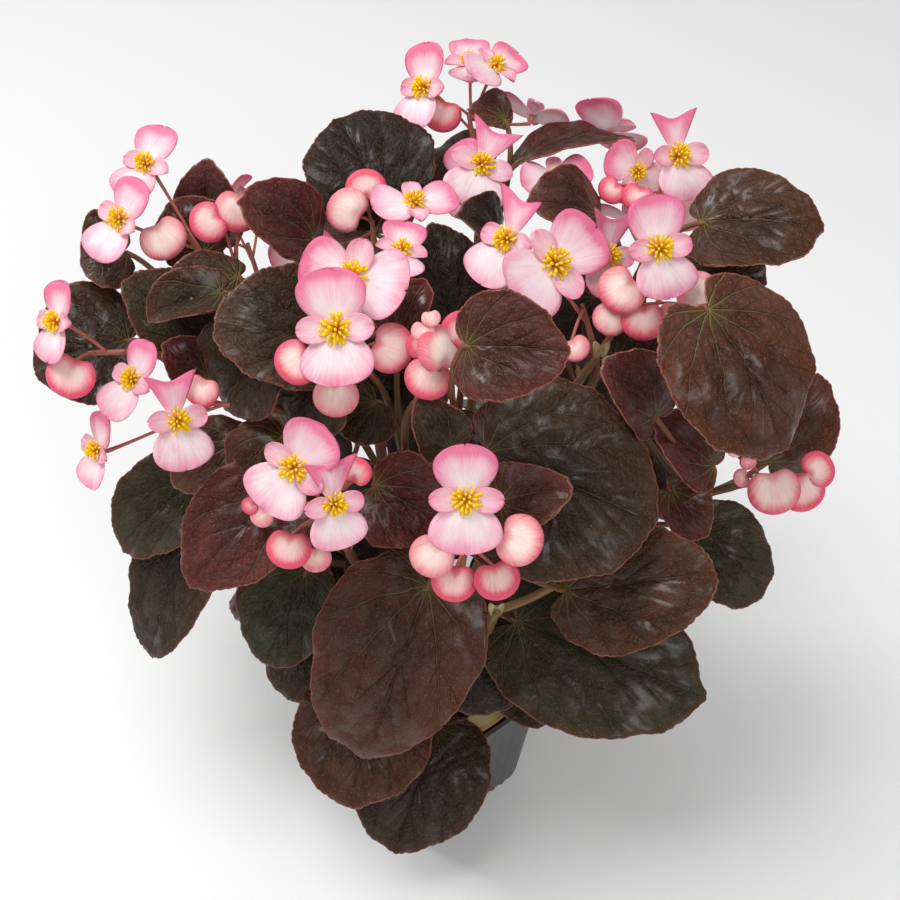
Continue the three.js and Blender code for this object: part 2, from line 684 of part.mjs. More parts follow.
    buds: [bud(at(162, -108, 296), 120, { look: at(0.9, -0.2, 0.4) })],
  },
  {
    name: "spray_far_left", stem: "left_back", from: at(-90, -128, 274), fork: at(-98, -146, 292),
    blooms: [
      bloom(at(-112, -160, 308), 0, { look: at(-0.6, -0.6, 0.6) }),
      bloom(at(-92, -172, 300), 40, { look: at(0.1, -0.8, 0.6) }),
    ],
    buds: [bud(at(-122, -140, 298), 240, { look: at(-0.9, -0.2, 0.4) })],
  },
];

// Pot: a tapering square tub with rounded corners, a plain rim and fine upright ribs on its walls. A
// ring starts within a corner, so that no cap triangle lies along a wall.
function squareRing(half, corner, height, ribs, arcs = 2) {
  const points = [];
  const straight = half - corner;
  for (let wall = 0; wall < 4; wall += 1) {
    const turn = (Math.PI / 2) * wall;
    const put = (outwards, along) => points.push(new THREE.Vector3(
      outwards * Math.cos(turn) - along * Math.sin(turn),
      outwards * Math.sin(turn) + along * Math.cos(turn),
      height,
    ));
    for (let rib = 0; rib < ribs; rib += 1) {
      const middle = (rib - (ribs - 1) / 2) * ribPitch * (half / potMouthHalf);
      put(half, middle - ribHalf);
      put(half + ribProud, middle);
      put(half, middle + ribHalf);
    }
    for (let step = 0; step <= arcs; step += 1) {
      const angle = (Math.PI / 2) * (step / arcs);
      put(straight + corner * Math.cos(angle), straight + corner * Math.sin(angle));
    }
  }
  return [...points.slice(-arcs), ...points.slice(0, -arcs)];
}

function potHalfAt(height) {
  return THREE.MathUtils.lerp(potFootHalf, potMouthHalf, height / potHeight);
}

function potSolid() {
  const rimFoot = potHeight - rimHeight;
  const walls = loft([
    squareRing(potFootHalf, potCornerRadius, 0, ribsPerSide),
    squareRing(potHalfAt(rimFoot), potCornerRadius, rimFoot + 0.5, ribsPerSide),
  ]);
  const rim = loft([
    squareRing(potHalfAt(rimFoot) + rimProud, potCornerRadius, rimFoot, 0),
    squareRing(potMouthHalf + rimProud, potCornerRadius, potHeight, 0),
  ]);
  const inside = loft([
    squareRing(potHalfAt(potFloor) - potWall, potCornerRadius - potWall, potFloor, 0),
    squareRing(potHalfAt(potHeight + 1) - potWall, potCornerRadius - potWall, potHeight + 1, 0),
  ]);
  return walls.add(rim).subtract(inside);
}

function soilSolid() {
  const gap = potWall + clearance;
  const foot = potFloor + clearance;
  const crumb = (point, index) => point.setZ(point.z + 0.9 * Math.sin(5 * index));
  const soil = loft([
    squareRing(potHalfAt(foot) - gap, potCornerRadius - potWall, foot, 0, 1),
    squareRing(potHalfAt(soilHeight) - gap, potCornerRadius - potWall, soilHeight - 1, 0, 1).map(crumb),
    squareRing(0.5 * potHalfAt(soilHeight), potCornerRadius - 3, soilHeight + soilMound, 0, 1).map(crumb),
  ]);
  return Object.values(stems).reduce((left, stem) => {
    const bottom = at(stem.foot[0], stem.foot[1], soilHeight - holeDepth);
    const top = at(stem.foot[0], stem.foot[1], soilHeight + 30);
    const radius = stemRadius + 2 * clearance;
    return left.subtract(rod([bottom, top], radius, radius + 1, 5));
  }, soil);
}

const finishes = {
  pot: new THREE.MeshStandardMaterial({ color: 0x4a4b4e, roughness: 0.55, metalness: 0 }),
  soil: new THREE.MeshStandardMaterial({ color: 0x2a201a, roughness: 0.95, metalness: 0 }),
  leaf: new THREE.MeshStandardMaterial({ color: 0x3a231c, roughness: 0.42, metalness: 0 }),
  petal: new THREE.MeshStandardMaterial({ color: 0xf3b6c6, roughness: 0.5, metalness: 0 }),
  stamen: new THREE.MeshStandardMaterial({ color: 0xf2b705, roughness: 0.6, metalness: 0 }),
};

const plant = new THREE.Group();

function addMesh(name, solid, finish) {
  const { vertProperties, triVerts } = solid.getMesh();
  const geometry = new THREE.BufferGeometry();
  geometry.setAttribute("position", new THREE.BufferAttribute(vertProperties, 3));
  geometry.setIndex(new THREE.BufferAttribute(triVerts, 1));
  geometry.computeVertexNormals();
  const mesh = new THREE.Mesh(geometry, finish);
  mesh.name = name;
  plant.add(mesh);
}

addMesh("pot", potSolid(), finishes.pot);
addMesh("soil", soilSolid(), finishes.soil);
Object.entries(stems).forEach(([name, stem]) => {
  const carried = sprays.filter((spray) => spray.stem === name);
  const ends = carried.map((spray) => ({ top: spray.from, heading: heading(spray) }));
  const shoots = (stem.shoots ?? []).map((top) => ({ top, heading: up }));
  addMesh(`leafy_stem_${name}`, leafyStem(stem, [...ends, ...shoots]), finishes.leaf);
});
sprays.forEach((spray) => {
  addMesh(spray.name, spraySolid(spray), finishes.petal);
  spray.blooms.filter((given) => !given.away).forEach((given, index) => {
    addMesh(`${spray.name}_stamens_${index + 1}`, stamens(given), finishes.stamen);
  });
});

export default plant;
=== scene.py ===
"""A bronze-leaved wax begonia in flower, standing in a square ribbed nursery pot."""
import math
import random

import bpy
import numpy as np
from mathutils import Matrix, Vector


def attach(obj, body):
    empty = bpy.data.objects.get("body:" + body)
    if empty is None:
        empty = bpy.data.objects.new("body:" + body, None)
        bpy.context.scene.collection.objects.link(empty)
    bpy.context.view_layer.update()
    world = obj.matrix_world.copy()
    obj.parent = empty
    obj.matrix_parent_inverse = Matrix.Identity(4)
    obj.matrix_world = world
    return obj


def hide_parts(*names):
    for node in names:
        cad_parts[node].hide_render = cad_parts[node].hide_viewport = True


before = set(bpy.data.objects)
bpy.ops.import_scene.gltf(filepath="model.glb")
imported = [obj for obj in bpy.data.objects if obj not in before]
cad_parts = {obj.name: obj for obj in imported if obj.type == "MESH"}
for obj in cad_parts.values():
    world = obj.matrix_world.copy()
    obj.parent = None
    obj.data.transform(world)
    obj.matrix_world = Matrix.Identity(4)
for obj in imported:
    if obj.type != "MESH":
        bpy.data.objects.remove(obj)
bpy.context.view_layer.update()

# Millimetres in here, metres in Blender
MM = 0.001

# Pot and soil
SOIL_HEIGHT = 71
SOIL_MOUND = 3
SOIL_CLODS = 300
HOLE_DEPTH = 22
CLEARANCE = 0.3

# Stems, leaves and flowers
STEM_RADIUS = 3.4
STEM_TOP_RADIUS = 2.1
MAIN_KNOTS = [0.3, 0.52, 0.74, 0.9]
BRANCH_KNOTS = [0.35, 0.8]
NECK_LENGTH = 5
PETIOLE_RADIUS = 1.6
PEDUNCLE_RADIUS = 1.3
PEDICEL_RADIUS = 0.8
LEAF_THICKNESS = 0.7
PETAL_THICKNESS = 0.45
BROAD = {"length": 23, "width": 28, "lift": 0, "middle": 0.62}
NARROW = {"length": 15.5, "width": 11.5, "lift": 7, "middle": 0.56}
# The upper petal is the pinkest and the lower one stays pale in its middle
PETAL_SHADES = {0: 0.3, 90: -0.1, 180: -0.12, 270: -0.1}
PETAL_WIDTHS = {0: 0.98, 90: 1.0, 180: 1.12, 270: 0.95}
PETAL_RISE = 14
PETAL_CURL = 2.5
PETAL_HOOD = 2.2
BLOOM_PINK = 0.5
BUD_PINK = 0.7
BUD_LENGTH = 18.5
BUD_THICKNESS = 7
BUD_HUB = 0.42
STAMENS = 32
ANTHERS_RADIUS = 6.4
ANTHERS_HEIGHT = 7.5

# A leaf's outline, in shares of its size and in radians
LEAF_MIDDLE = 0.41
LEAF_HALF = 0.59
LEAF_HUB = 0.38
NOTCH_ANGLE = 0.34
TOOTH_DEPTH = 0.022
POINT_LENGTH = 0.025
POINT_ANGLE = 0.16
# How many uneven waves go round the margin, and how deep they are
UNEVEN_WAVES = [(5, 0.013), (9, 0.009), (17, 0.007)]

# A leaf's surface, in millimetres, with the puckers that a leaf of this width has
MARGIN_WAVE = 1.6
PUCKERED_WIDTH = 60
MAIN_PUCKER = 2.1
MAIN_PUCKER_REACH = 2.8
SIDE_PUCKER = 0.95
SIDE_PUCKER_REACH = 1.8

# A leaf that is wider than this has more teeth and is drawn more finely
LARGE_LEAF = 45
LARGE_LEAF_TEETH = 50
SMALL_LEAF_TEETH = 32

# How finely the pieces are drawn: points round each and rings in it, or a petal's rows and columns
LARGE_LEAF_MESH = (200, 12)
SMALL_LEAF_MESH = (128, 9)
INNER_LEAF_MESH = (96, 7)
PETAL_MESH = (17, 15)
BUD_MESH = (32, 8)
SCALE_MESH = (24, 5)
SOIL_MESH = (160, 40)
STEM_SIDES = 14
BLOOM_STALK_SIDES = 9
BUD_STALK_SIDES = 8
STAMEN_SIDES = 6
CLOD_SIDES = 7

# Places of the materials in a piece: first of foliage, then of flowers, then where there is only one
STALK_PAINT = 2
SCALE_PAINT = 3
PETAL_PAINT = 0
FLOWER_STALK_PAINT = 1
ONLY_PAINT = 0

# The plant is laid out as a viewer sees it who stands before its front corner and looks down on it.
# Across runs to the viewer's right, near runs towards the viewer, and up is +Z.
VIEW_TURN = math.radians(51)
VIEW_PITCH = math.radians(45)
VIEW_DISTANCE = 728
VIEW_AIM_UP = 275
VIEW_AIM_ACROSS = 14.7
VIEW_SIZE = 900
VIEW_MIDDLE = VIEW_SIZE / 2
VIEW_FOCAL = 1472
CAMERA_SENSOR = 36

ACROSS = Vector((math.cos(VIEW_TURN), math.sin(VIEW_TURN), 0))
NEAR = Vector((math.sin(VIEW_TURN), -math.cos(VIEW_TURN), 0))
UP = Vector((0, 0, 1))
TO_VIEWER = NEAR * math.cos(VIEW_PITCH) + UP * math.sin(VIEW_PITCH)
VIEW_UP = UP * math.cos(VIEW_PITCH) - NEAR * math.sin(VIEW_PITCH)
AIM = UP * VIEW_AIM_UP + ACROSS * VIEW_AIM_ACROSS
EYE = AIM + TO_VIEWER * VIEW_DISTANCE


def at(right, front, height):
    """A point by its distances across, near and up from the middle of the pot's underside."""
    return ACROSS * right + NEAR * front + UP * height


def turned(sideways, upwards):
    """The way that a bloom or bud looks: how far it turns off from the viewer, sideways and upwards."""
    return TO_VIEWER + ACROSS * sideways + VIEW_UP * upwards


def seen(right, down, front):
    """A point by where the viewer sees it, in a square view 900 wide, and how near it is."""
    ray = -TO_VIEWER
    ray = ray + ACROSS * ((right - VIEW_MIDDLE) / VIEW_FOCAL)
    ray = ray + VIEW_UP * ((VIEW_MIDDLE - down) / VIEW_FOCAL)
    reach = (front - EYE.dot(NEAR)) / ray.dot(NEAR)
    return EYE + ray * reach


def leaf(heart, tip, width, **more):
    return {"heart": heart, "tip": tip, "width": width, **more}


def bloom(centre, spin, **more):
    return {"centre": centre, "spin": spin, **more}


def bud(centre, spin, **more):
    return {"centre": centre, "spin": spin, **more}


# Leafy stems, each with the place of its foot in the soil, across and near, and its leaves
STEMS = {
    "front": {
        "foot": [-4, 22],
        "leaves": [
            leaf(seen(428, 586, 62), seen(366, 758, 105), 82, arch=7, cup=-3, lean=0.14, tone="brown"),
            leaf(seen(376, 692, 52), seen(350, 806, 98), 75, arch=6, tone="brown"),
            leaf(seen(436, 728, 44), seen(394, 850, 92), 80, arch=8, cup=-4, tone="dark"),
            leaf(seen(306, 572, 24), seen(266, 664, 50), 54, tone="green"),
            leaf(seen(375, 486, 42), seen(440, 520, 52), 46, cup=8, tone="maroon"),
            leaf(seen(450, 448, 53), seen(418, 400, 46), 26, cup=6, tone="dark"),
            leaf(seen(376, 402, 12), seen(338, 432, 22), 40, tone="dark"),
            leaf(seen(400, 335, -8), seen(425, 280, -22), 28, fold=6, tone="maroon"),
        ],
    },
    "right_front": {
        "foot": [16, 18],
        "shoots": [seen(500, 470, 42)],
        "leaves": [
            leaf(seen(486, 452, 38), seen(655, 524, 64), 94, arch=8, cup=-4, tone="dark"),
            leaf(seen(466, 346, 53), seen(568, 352, 66), 47, arch=5, cup=7, tone="plum"),
            leaf(seen(500, 500, 60), seen(570, 486, 72), 33, cup=6, tone="plum"),
            leaf(seen(566, 590, 58), seen(716, 572, 70), 64, arch=8, tone="glossy"),
            leaf(seen(518, 622, 40), seen(702, 696, 72), 84, arch=6, cup=-3, tone="olive"),
            leaf(seen(485, 640, 32), seen(480, 715, 52), 26, cup=6, tone="maroon"),
        ],
    },
    "right": {
        "foot": [28, 4],
        "leaves": [
            leaf(seen(708, 310, 34), seen(782, 450, 64), 69, arch=9, cup=-3, tone="brown"),
            leaf(seen(713, 466, 16), seen(655, 425, 13), 40, cup=6, tone="maroon"),
            leaf(seen(656, 417, 22), seen(606, 360, 18), 38, cup=6, tone="maroon"),
            leaf(seen(670, 490, 16), seen(706, 536, 30), 30, tone="red"),
            leaf(seen(692, 530, 2), seen(765, 592, 20), 54, arch=6, tone="olive"),
            leaf(seen(768, 462, -10), seen(818, 376, -26), 46, tone="brown"),
            leaf(seen(615, 360, -16), seen(640, 315, -30), 46, tone="dark"),
            leaf(at(62, -8, 150), at(118, 2, 128), 52, tone="olive"),
        ],
    },
    "right_back": {
        "foot": [20, -16],
        "leaves": [
            leaf(seen(702, 222, -48), seen(822, 230, -30), 54, arch=6, tone="glossy"),
            leaf(seen(690, 268, -42), seen(766, 282, -26), 40, tone="dark"),
            leaf(seen(598, 215, -70), seen(530, 203, -58), 40, tone="plum"),
            leaf(at(70, -70, 250), at(140, -100, 225), 62, tone="brown"),
            leaf(at(60, -50, 170), at(125, -70, 130), 64, tone="olive"),
            leaf(at(84, -96, 200), at(140, -140, 160), 66, arch=8, tone="dark"),
            leaf(at(70, -70, 300), at(112, -128, 284), 56, arch=6, tone="red"),
        ],
    },
    "back": {
        "foot": [6, -28],
        "leaves": [
            leaf(seen(523, 158, -118), seen(634, 140, -126), 50, roll=-42, arch=6, tone="plum"),
            leaf(seen(470, 178, -128), seen(432, 148, -150), 46, tone="dark"),
            leaf(seen(505, 120, -136), seen(468, 108, -144), 22, tone="plum"),
            leaf(seen(450, 330, -38), seen(430, 225, -60), 48, tone="black"),
            leaf(seen(505, 250, -74), seen(462, 215, -62), 40, tone="black"),
            leaf(at(10, -110, 280), at(60, -175, 235), 66, arch=8, tone="brown"),
            leaf(at(-20, -100, 210), at(-30, -175, 170), 70, arch=8, tone="dark"),
            leaf(at(30, -70, 150), at(55, -140, 110), 72, arch=8, tone="olive"),
            leaf(at(-24, -122, 316), at(-60, -180, 298), 58, arch=6, tone="maroon"),
        ],
    },
    "left_back": {
        "foot": [-12, -22],
        "leaves": [
            leaf(seen(385, 205, -98), seen(338, 120, -142), 68, arch=7, tone="black"),
            leaf(seen(316, 240, -68), seen(238, 202, -60), 42, arch=5, tone="maroon"),
            leaf(seen(350, 292, -48), seen(378, 245, -62), 38, tone="dark"),
            leaf(at(-60, -110, 260), at(-105, -165, 225), 62, arch=7, tone="brown"),
            leaf(at(-50, -70, 160), at(-95, -125, 115), 68, arch=8, tone="olive"),
            leaf(at(-56, -84, 236), at(-116, -130, 206), 62, arch=8, tone="red"),
        ],
    },
    "left_far": {
        "foot": [-26, -10],
        "leaves": [
            leaf(seen(215, 237, -112), seen(205, 160, -124), 38, tone="maroon"),
            leaf(seen(205, 252, -84), seen(170, 202, -98), 40, tone="plum"),
            leaf(seen(125, 252, -82), seen(80, 262, -78), 46, tone="grey"),
            leaf(seen(215, 345, -44), seen(125, 282, -48), 46, tone="olive"),
            leaf(seen(129, 340, -44), seen(34, 366, -34), 66, arch=5, tone="dark"),
            leaf(seen(238, 277, -48), seen(162, 308, -34), 34, tone="grey"),
            leaf(at(-90, -60, 190), at(-160, -80, 150), 64, arch=8, tone="olive"),
        ],
    },
    "left": {
        "foot": [-28, 6],
        "leaves": [
            leaf(seen(330, 335, -6), seen(213, 335, 8), 60, arch=6, tone="grey"),
            leaf(seen(222, 292, -24), seen(147, 318, -16), 26, fold=5, tone="grey"),
            leaf(seen(205, 374, -18), seen(163, 346, -14), 28, tone="maroon"),
            leaf(seen(238, 440, 4), seen(175, 486, 16), 36, tone="brown"),
            leaf(seen(195, 482, -8), seen(119, 547, 8), 52, tone="olive"),
            leaf(seen(202, 524, 8), seen(150, 656, 38), 47, arch=6, tone="dark"),
        ],
    },
    "left_front": {
        "foot": [-18, 16],
        "leaves": [
            leaf(seen(292, 486, 38), seen(190, 584, 70), 54, arch=7, tone="red"),
            leaf(seen(282, 436, 24), seen(252, 500, 42), 42, tone="brown"),
        ],
    },
}

# Sprays, each with the leafy stem that carries it, the end of that stem and the fork of its stalk
SPRAYS = [
    {
        "name": "spray_left_high", "stem": "left_far",
        "start": seen(222, 280, -76), "fork": seen(184, 232, -80),
        "blooms": [
            bloom(seen(146, 164, -98), 22, size=0.88, look=turned(-0.35, 0.35)),
            bloom(seen(120, 220, -72), 30, size=0.95, look=turned(-0.55, 0.3)),
        ],
        "buds": [bud(seen(163, 238, -72), 150, size=1.15)],
    },
    {
        "name": "spray_left_inner", "stem": "left_far",
        "start": seen(236, 292, -66), "fork": seen(236, 246, -74),
        "blooms": [],
        "buds": [bud(seen(209, 222, -74), 240), bud(seen(238, 210, -80), 190, size=1.15)],
    },
    {
        "name": "spray_left_tip", "stem": "left_far",
        "start": seen(125, 352, -20), "fork": seen(88, 353, -18),
        "blooms": [bloom(seen(56, 322, -8), 10, size=0.82, look=turned(-0.9, 0.15))],
        "buds": [bud(seen(71, 375, 2), 200, size=1.15)],
    },
    {
        "name": "spray_left_low", "stem": "left",
        "start": seen(262, 408, 10), "fork": seen(196, 402, 16),
        "blooms": [
            bloom(seen(133, 380, 6), 25, size=0.86, look=turned(-0.7, 0.4)),
            bloom(seen(177, 421, 32), -10, size=0.95, look=turned(0.7, 0.1), kite=1),
            bloom(seen(97, 450, 14), 20, size=0.8, look=turned(-1.1, 0.1)),
        ],
        "buds": [bud(seen(202, 390, 14), 200, size=0.8)],
    },
    {
        "name": "spray_front_left", "stem": "left_front",
        "start": seen(336, 528, 52), "fork": seen(322, 502, 66),
        "blooms": [
            bloom(seen(294, 468, 68), 40),
            bloom(seen(334, 504, 78), -12, size=0.9, look=turned(0.5, -0.1), kite=1),
        ],
        "buds": [
            bud(seen(289, 548, 76), 190), bud(seen(316, 558, 72), 170, size=0.7),
            bud(seen(356, 472, 62), 20, size=0.7),
        ],
    },
    {
        "name": "spray_front", "stem": "front",
        "start": seen(462, 566, 68), "fork": seen(468, 540, 84),
        "blooms": [bloom(seen(466, 499, 92), 0)],
        "buds": [
            bud(seen(432, 556, 86), 215), bud(seen(454, 581, 88), 190), bud(seen(497, 579, 94), 165),
            bud(seen(519, 540, 98), 110, size=1.1),
        ],
    },
    {
        "name": "spray_middle", "stem": "front",
        "start": seen(374, 378, 8), "fork": seen(350, 350, 14),
        "blooms": [
            bloom(seen(337, 329, 30), 0, size=1.1),
            bloom(seen(353, 276, 4), -75, size=1.05, look=turned(0, 0.2)),
        ],
        "buds": [
            bud(seen(297, 362, 36), 230), bud(seen(390, 348, 22), 110, size=1.1),
            bud(seen(336, 396, 34), 180),
        ],
    },
    {
        "name": "spray_centre", "stem": "front",
        "start": seen(414, 404, 26), "fork": seen(438, 372, 34),
        "blooms": [],
        "buds": [
            bud(seen(428, 378, 42), 200), bud(seen(439, 350, 40), 350, size=1.15, look=turned(1, 0.1)),
            bud(seen(464, 333, 33), 25, size=1), bud(seen(421, 345, 32), 330, size=0.65),
        ],
    },
    {
        "name": "spray_white", "stem": "left_back",
        "start": seen(392, 262, -58), "fork": seen(402, 240, -62),
        "blooms": [
            bloom(seen(402, 250, -42), 10, size=0.75, look=turned(0.2, 0.7)),
            bloom(seen(415, 203, -78), 80, size=0.9, look=turned(0.1, 0.9)),
        ],
        "buds": [],
    },
    {
        "name": "spray_back_bud", "stem": "left_back",
        "start": seen(374, 240, -82), "fork": seen(372, 220, -88),
        "blooms": [bloom(seen(303, 252, -86), 60, size=0.75, look=turned(0, 0.6))],
        "buds": [bud(seen(366, 188, -92), 0), bud(seen(348, 210, -82), 300, size=1.1)],
    },
    {
        "name": "spray_back_low", "stem": "back",
        "start": seen(482, 232, -88), "fork": seen(476, 202, -98),
        "blooms": [
            bloom(seen(468, 178, -108), -15, size=0.85, look=turned(-0.8, 0.1)),
            bloom(seen(482, 165, -106), 22, look=turned(0.15, 0.1), kite=1),
        ],
        "buds": [],
    },
    {
        "name": "spray_back_high", "stem": "back",
        "start": seen(474, 142, -142), "fork": seen(468, 112, -152),
        "blooms": [
            bloom(seen(424, 88, -150), 10, size=0.95, look=turned(-0.9, 0.1)),
            bloom(seen(470, 62, -166), 0, size=0.8, look=turned(0, 0.8)),
            bloom(seen(496, 66, -156), 60, size=0.8, look=turned(0.5, 0.7)),
            bloom(seen(534, 114, -158), 20, size=0.85, look=at(0.5, -0.8, 0.6), away=1),
        ],
        "buds": [bud(seen(442, 114, -148), 200)],
    },
    {
        "name": "spray_right_high", "stem": "right_back",
        "start": seen(652, 226, -92), "fork": seen(656, 192, -94),
        "blooms": [
            bloom(seen(678, 156, -98), -11, look=turned(0.4, 0), kite=1),
            bloom(seen(637, 172, -100), -60, size=0.75, look=turned(0.3, -0.2)),
            bloom(seen(557, 178, -93), 80, size=0.75, look=turned(0, 0.6)),
            bloom(seen(610, 130, -152), 0, size=0.95, look=at(0.3, -0.9, 0.4), away=1),
        ],
        "buds": [
            bud(seen(684, 208, -92), 170, size=1.25), bud(seen(638, 197, -84), 200, size=0.8),
            bud(seen(612, 190, -88), 230, size=0.7),
        ],
    },
    {
        "name": "spray_right_middle", "stem": "right_back",
        "start": seen(592, 340, -14), "fork": seen(582, 304, -22),
        "blooms": [
            bloom(seen(555, 264, -22), 52, size=1.15),
            bloom(seen(507, 240, -40), 25, look=turned(-0.8, 0.2), kite=1),
        ],
        "buds": [bud(seen(576, 348, 6), 150, size=0.65)],
    },
    {
        "name": "spray_right_inner", "stem": "right_back",
        "start": seen(600, 352, -8), "fork": seen(640, 292, -14),
        "blooms": [
            bloom(seen(608, 256, -38), 0, size=0.9, look=turned(0.6, 0), kite=1),
            bloom(seen(659, 249, -12), -12),
        ],
        "buds": [
            bud(seen(622, 290, -8), 230, size=1.1), bud(seen(643, 320, -2), 185),
            bud(seen(680, 316, -4), 165), bud(seen(697, 293, -10), 120),
            bud(seen(610, 319, -4), 215, size=0.8),
        ],
    },
    {
        "name": "spray_right_tip", "stem": "right",
        "start": seen(748, 484, 14), "fork": seen(764, 482, 22),
        "blooms": [],
        "buds": [
            bud(seen(774, 490, 28), 170, size=1.25), bud(seen(802, 490, 26), 160, size=1.1),
            bud(seen(817, 470, 20), 70, size=0.9),
        ],
    },
    {
        "name": "spray_far_right", "stem": "right_back",
        "start": at(120, -104, 268), "fork": at(138, -118, 292),
        "blooms": [
            bloom(at(150, -135, 312), 0, look=at(0.6, -0.6, 0.6)),
            bloom(at(116, -160, 300), 40, look=at(0.1, -0.8, 0.7)),
        ],
        "buds": [bud(at(162, -108, 296), 120, look=at(0.9, -0.2, 0.4))],
    },
    {
        "name": "spray_far_left", "stem": "left_back",
        "start": at(-90, -128, 274), "fork": at(-98, -146, 292),
        "blooms": [
            bloom(at(-112, -160, 308), 0, look=at(-0.6, -0.6, 0.6)),
            bloom(at(-92, -172, 300), 40, look=at(0.1, -0.8, 0.6)),
        ],
        "buds": [bud(at(-122, -140, 298), 240, look=at(-0.9, -0.2, 0.4))],
    },
]


# Leaves of the middle and the back, which lean away from the viewer
BACKWARD = UP * 0.8 - NEAR * 0.75
LEFTWARD = UP * 0.7 - ACROSS * 0.8
RIGHTWARD = UP * 0.7 + ACROSS * 0.8

# Most of these take the black and dark tones, which paint the middle of the plant in shade
INNER_LEAVES = [
    leaf(at(-12, 34, 168), at(-26, 66, 128), 62, tone="black"),
    leaf(at(22, 34, 176), at(46, 58, 140), 60, tone="black"),
    leaf(at(-40, 18, 200), at(-74, 40, 172), 56, tone="black"),
    leaf(at(48, 6, 206), at(80, 26, 176), 58, tone="dark"),
    leaf(at(-6, 22, 226), at(-20, 52, 204), 54, tone="black"),
    leaf(at(30, -6, 246), at(58, 12, 226), 52, tone="dark"),
    leaf(at(-36, -20, 250), at(-64, 0, 232), 52, tone="black"),
    leaf(at(6, -36, 262), at(12, -6, 246), 54, tone="black"),
    leaf(at(52, -50, 240), at(92, -66, 206), 56, tone="brown"),
    leaf(at(-52, -56, 214), at(-92, -80, 176), 58, tone="dark"),
    leaf(at(8, -66, 196), at(18, -112, 156), 64, face=BACKWARD),
    leaf(at(-22, -44, 140), at(-52, -78, 104), 60, tone="olive"),
    leaf(at(34, -34, 128), at(70, -58, 96), 60, tone="olive"),
    leaf(at(-48, 4, 132), at(-88, 12, 100), 60, tone="dark"),
    leaf(at(46, 14, 122), at(84, 26, 96), 54, tone="dark"),
    leaf(at(-34, -72, 236), at(-56, -112, 206), 58, face=BACKWARD, tone="brown"),
    leaf(at(40, -78, 228), at(58, -122, 190), 60, face=BACKWARD, tone="maroon"),
    leaf(at(-14, -60, 176), at(-40, -100, 138), 62, face=BACKWARD, tone="dark"),
    leaf(at(36, -58, 170), at(62, -94, 132), 58, face=BACKWARD, tone="brown"),
    leaf(at(4, -52, 136), at(8, -90, 98), 58, face=BACKWARD, tone="olive"),
    leaf(at(4, -88, 262), at(2, -128, 236), 52, face=BACKWARD, tone="red"),
    leaf(at(-60, -34, 176), at(-104, -46, 140), 60, face=LEFTWARD, tone="brown"),
    leaf(at(-54, -10, 150), at(-92, -22, 112), 56, face=LEFTWARD, tone="dark"),
    leaf(at(-62, 14, 196), at(-104, 4, 164), 54, face=LEFTWARD, tone="maroon"),
    leaf(at(62, -26, 172), at(104, -40, 136), 60, face=RIGHTWARD, tone="brown"),
    leaf(at(54, -4, 148), at(92, -12, 108), 56, face=RIGHTWARD, tone="dark"),
    leaf(at(66, -44, 206), at(108, -64, 174), 56, face=RIGHTWARD, tone="red"),
    leaf(seen(262, 350, 4), seen(224, 404, 8), 54, tone="dark"),
    leaf(seen(322, 366, 8), seen(292, 428, 14), 54, tone="dark"),
    leaf(seen(404, 350, -6), seen(398, 424, 6), 56, tone="black"),
    leaf(seen(636, 436, -6), seen(694, 506, -10), 50, tone="maroon"),
    leaf(seen(594, 296, -50), seen(586, 352, -40), 56, tone="black"),
    leaf(seen(386, 470, 34), seen(410, 530, 40), 50, tone="black"),
]


# The joint under the foremost bloom, with the thick petiole that leaves it and the stem that ends in it
OLIVE_JOINT = seen(496, 610, 46)
OLIVE_PETIOLE = [OLIVE_JOINT, seen(530, 602, 48), seen(578, 572, 50)]
OLIVE_STEM = [seen(470, 700, 22), seen(478, 650, 38), OLIVE_JOINT]
# Joints that carry pale scales
SCALED_JOINTS = [OLIVE_JOINT, seen(600, 352, -6), seen(424, 404, 27), seen(240, 290, -62)]
# The ends of the leaf that curls over the pot's rim
CURLED_LEAF = [seen(514, 698, 30), seen(458, 738, 38)]
CURLED_LEAF_WIDTH = 15


# The smallest buds, each with the fork that it hangs from
YOUNG_BUDS = [
    (bud(seen(735, 449, 17), 200, size=0.42, pink=0.35), seen(762, 482, 21)),
    (bud(seen(748, 462, 19), 170, size=0.4, pink=0.3), seen(762, 482, 21)),
    (bud(seen(742, 478, 19), 250, size=0.45, pink=0.4), seen(762, 482, 21)),
    (bud(seen(423, 331, 38), 185, size=0.5, pink=0.3), seen(438, 370, 34)),
    (bud(seen(431, 318, 36), 170, size=0.4, pink=0.3), seen(438, 370, 34)),
    (bud(seen(262, 516, 60), 210, size=0.55, pink=0.35), seen(318, 504, 62)),
    (bud(seen(250, 506, 58), 240, size=0.4, pink=0.5), seen(318, 504, 62)),
]


# Numbers that a material works out, written as sums

class Amount:
    """A number that a material works out, which takes part in Python sums."""

    def __init__(self, paint, socket):
        self.paint = paint
        self.socket = socket

    def __add__(self, other):
        return self.paint.maths("ADD", self, other)

    def __sub__(self, other):
        return self.paint.maths("SUBTRACT", self, other)

    def __rsub__(self, other):
        return self.paint.maths("SUBTRACT", other, self)

    def __mul__(self, other):
        return self.paint.maths("MULTIPLY", self, other)

    def __truediv__(self, other):
        return self.paint.maths("DIVIDE", self, other)

    __radd__ = __add__
    __rmul__ = __mul__


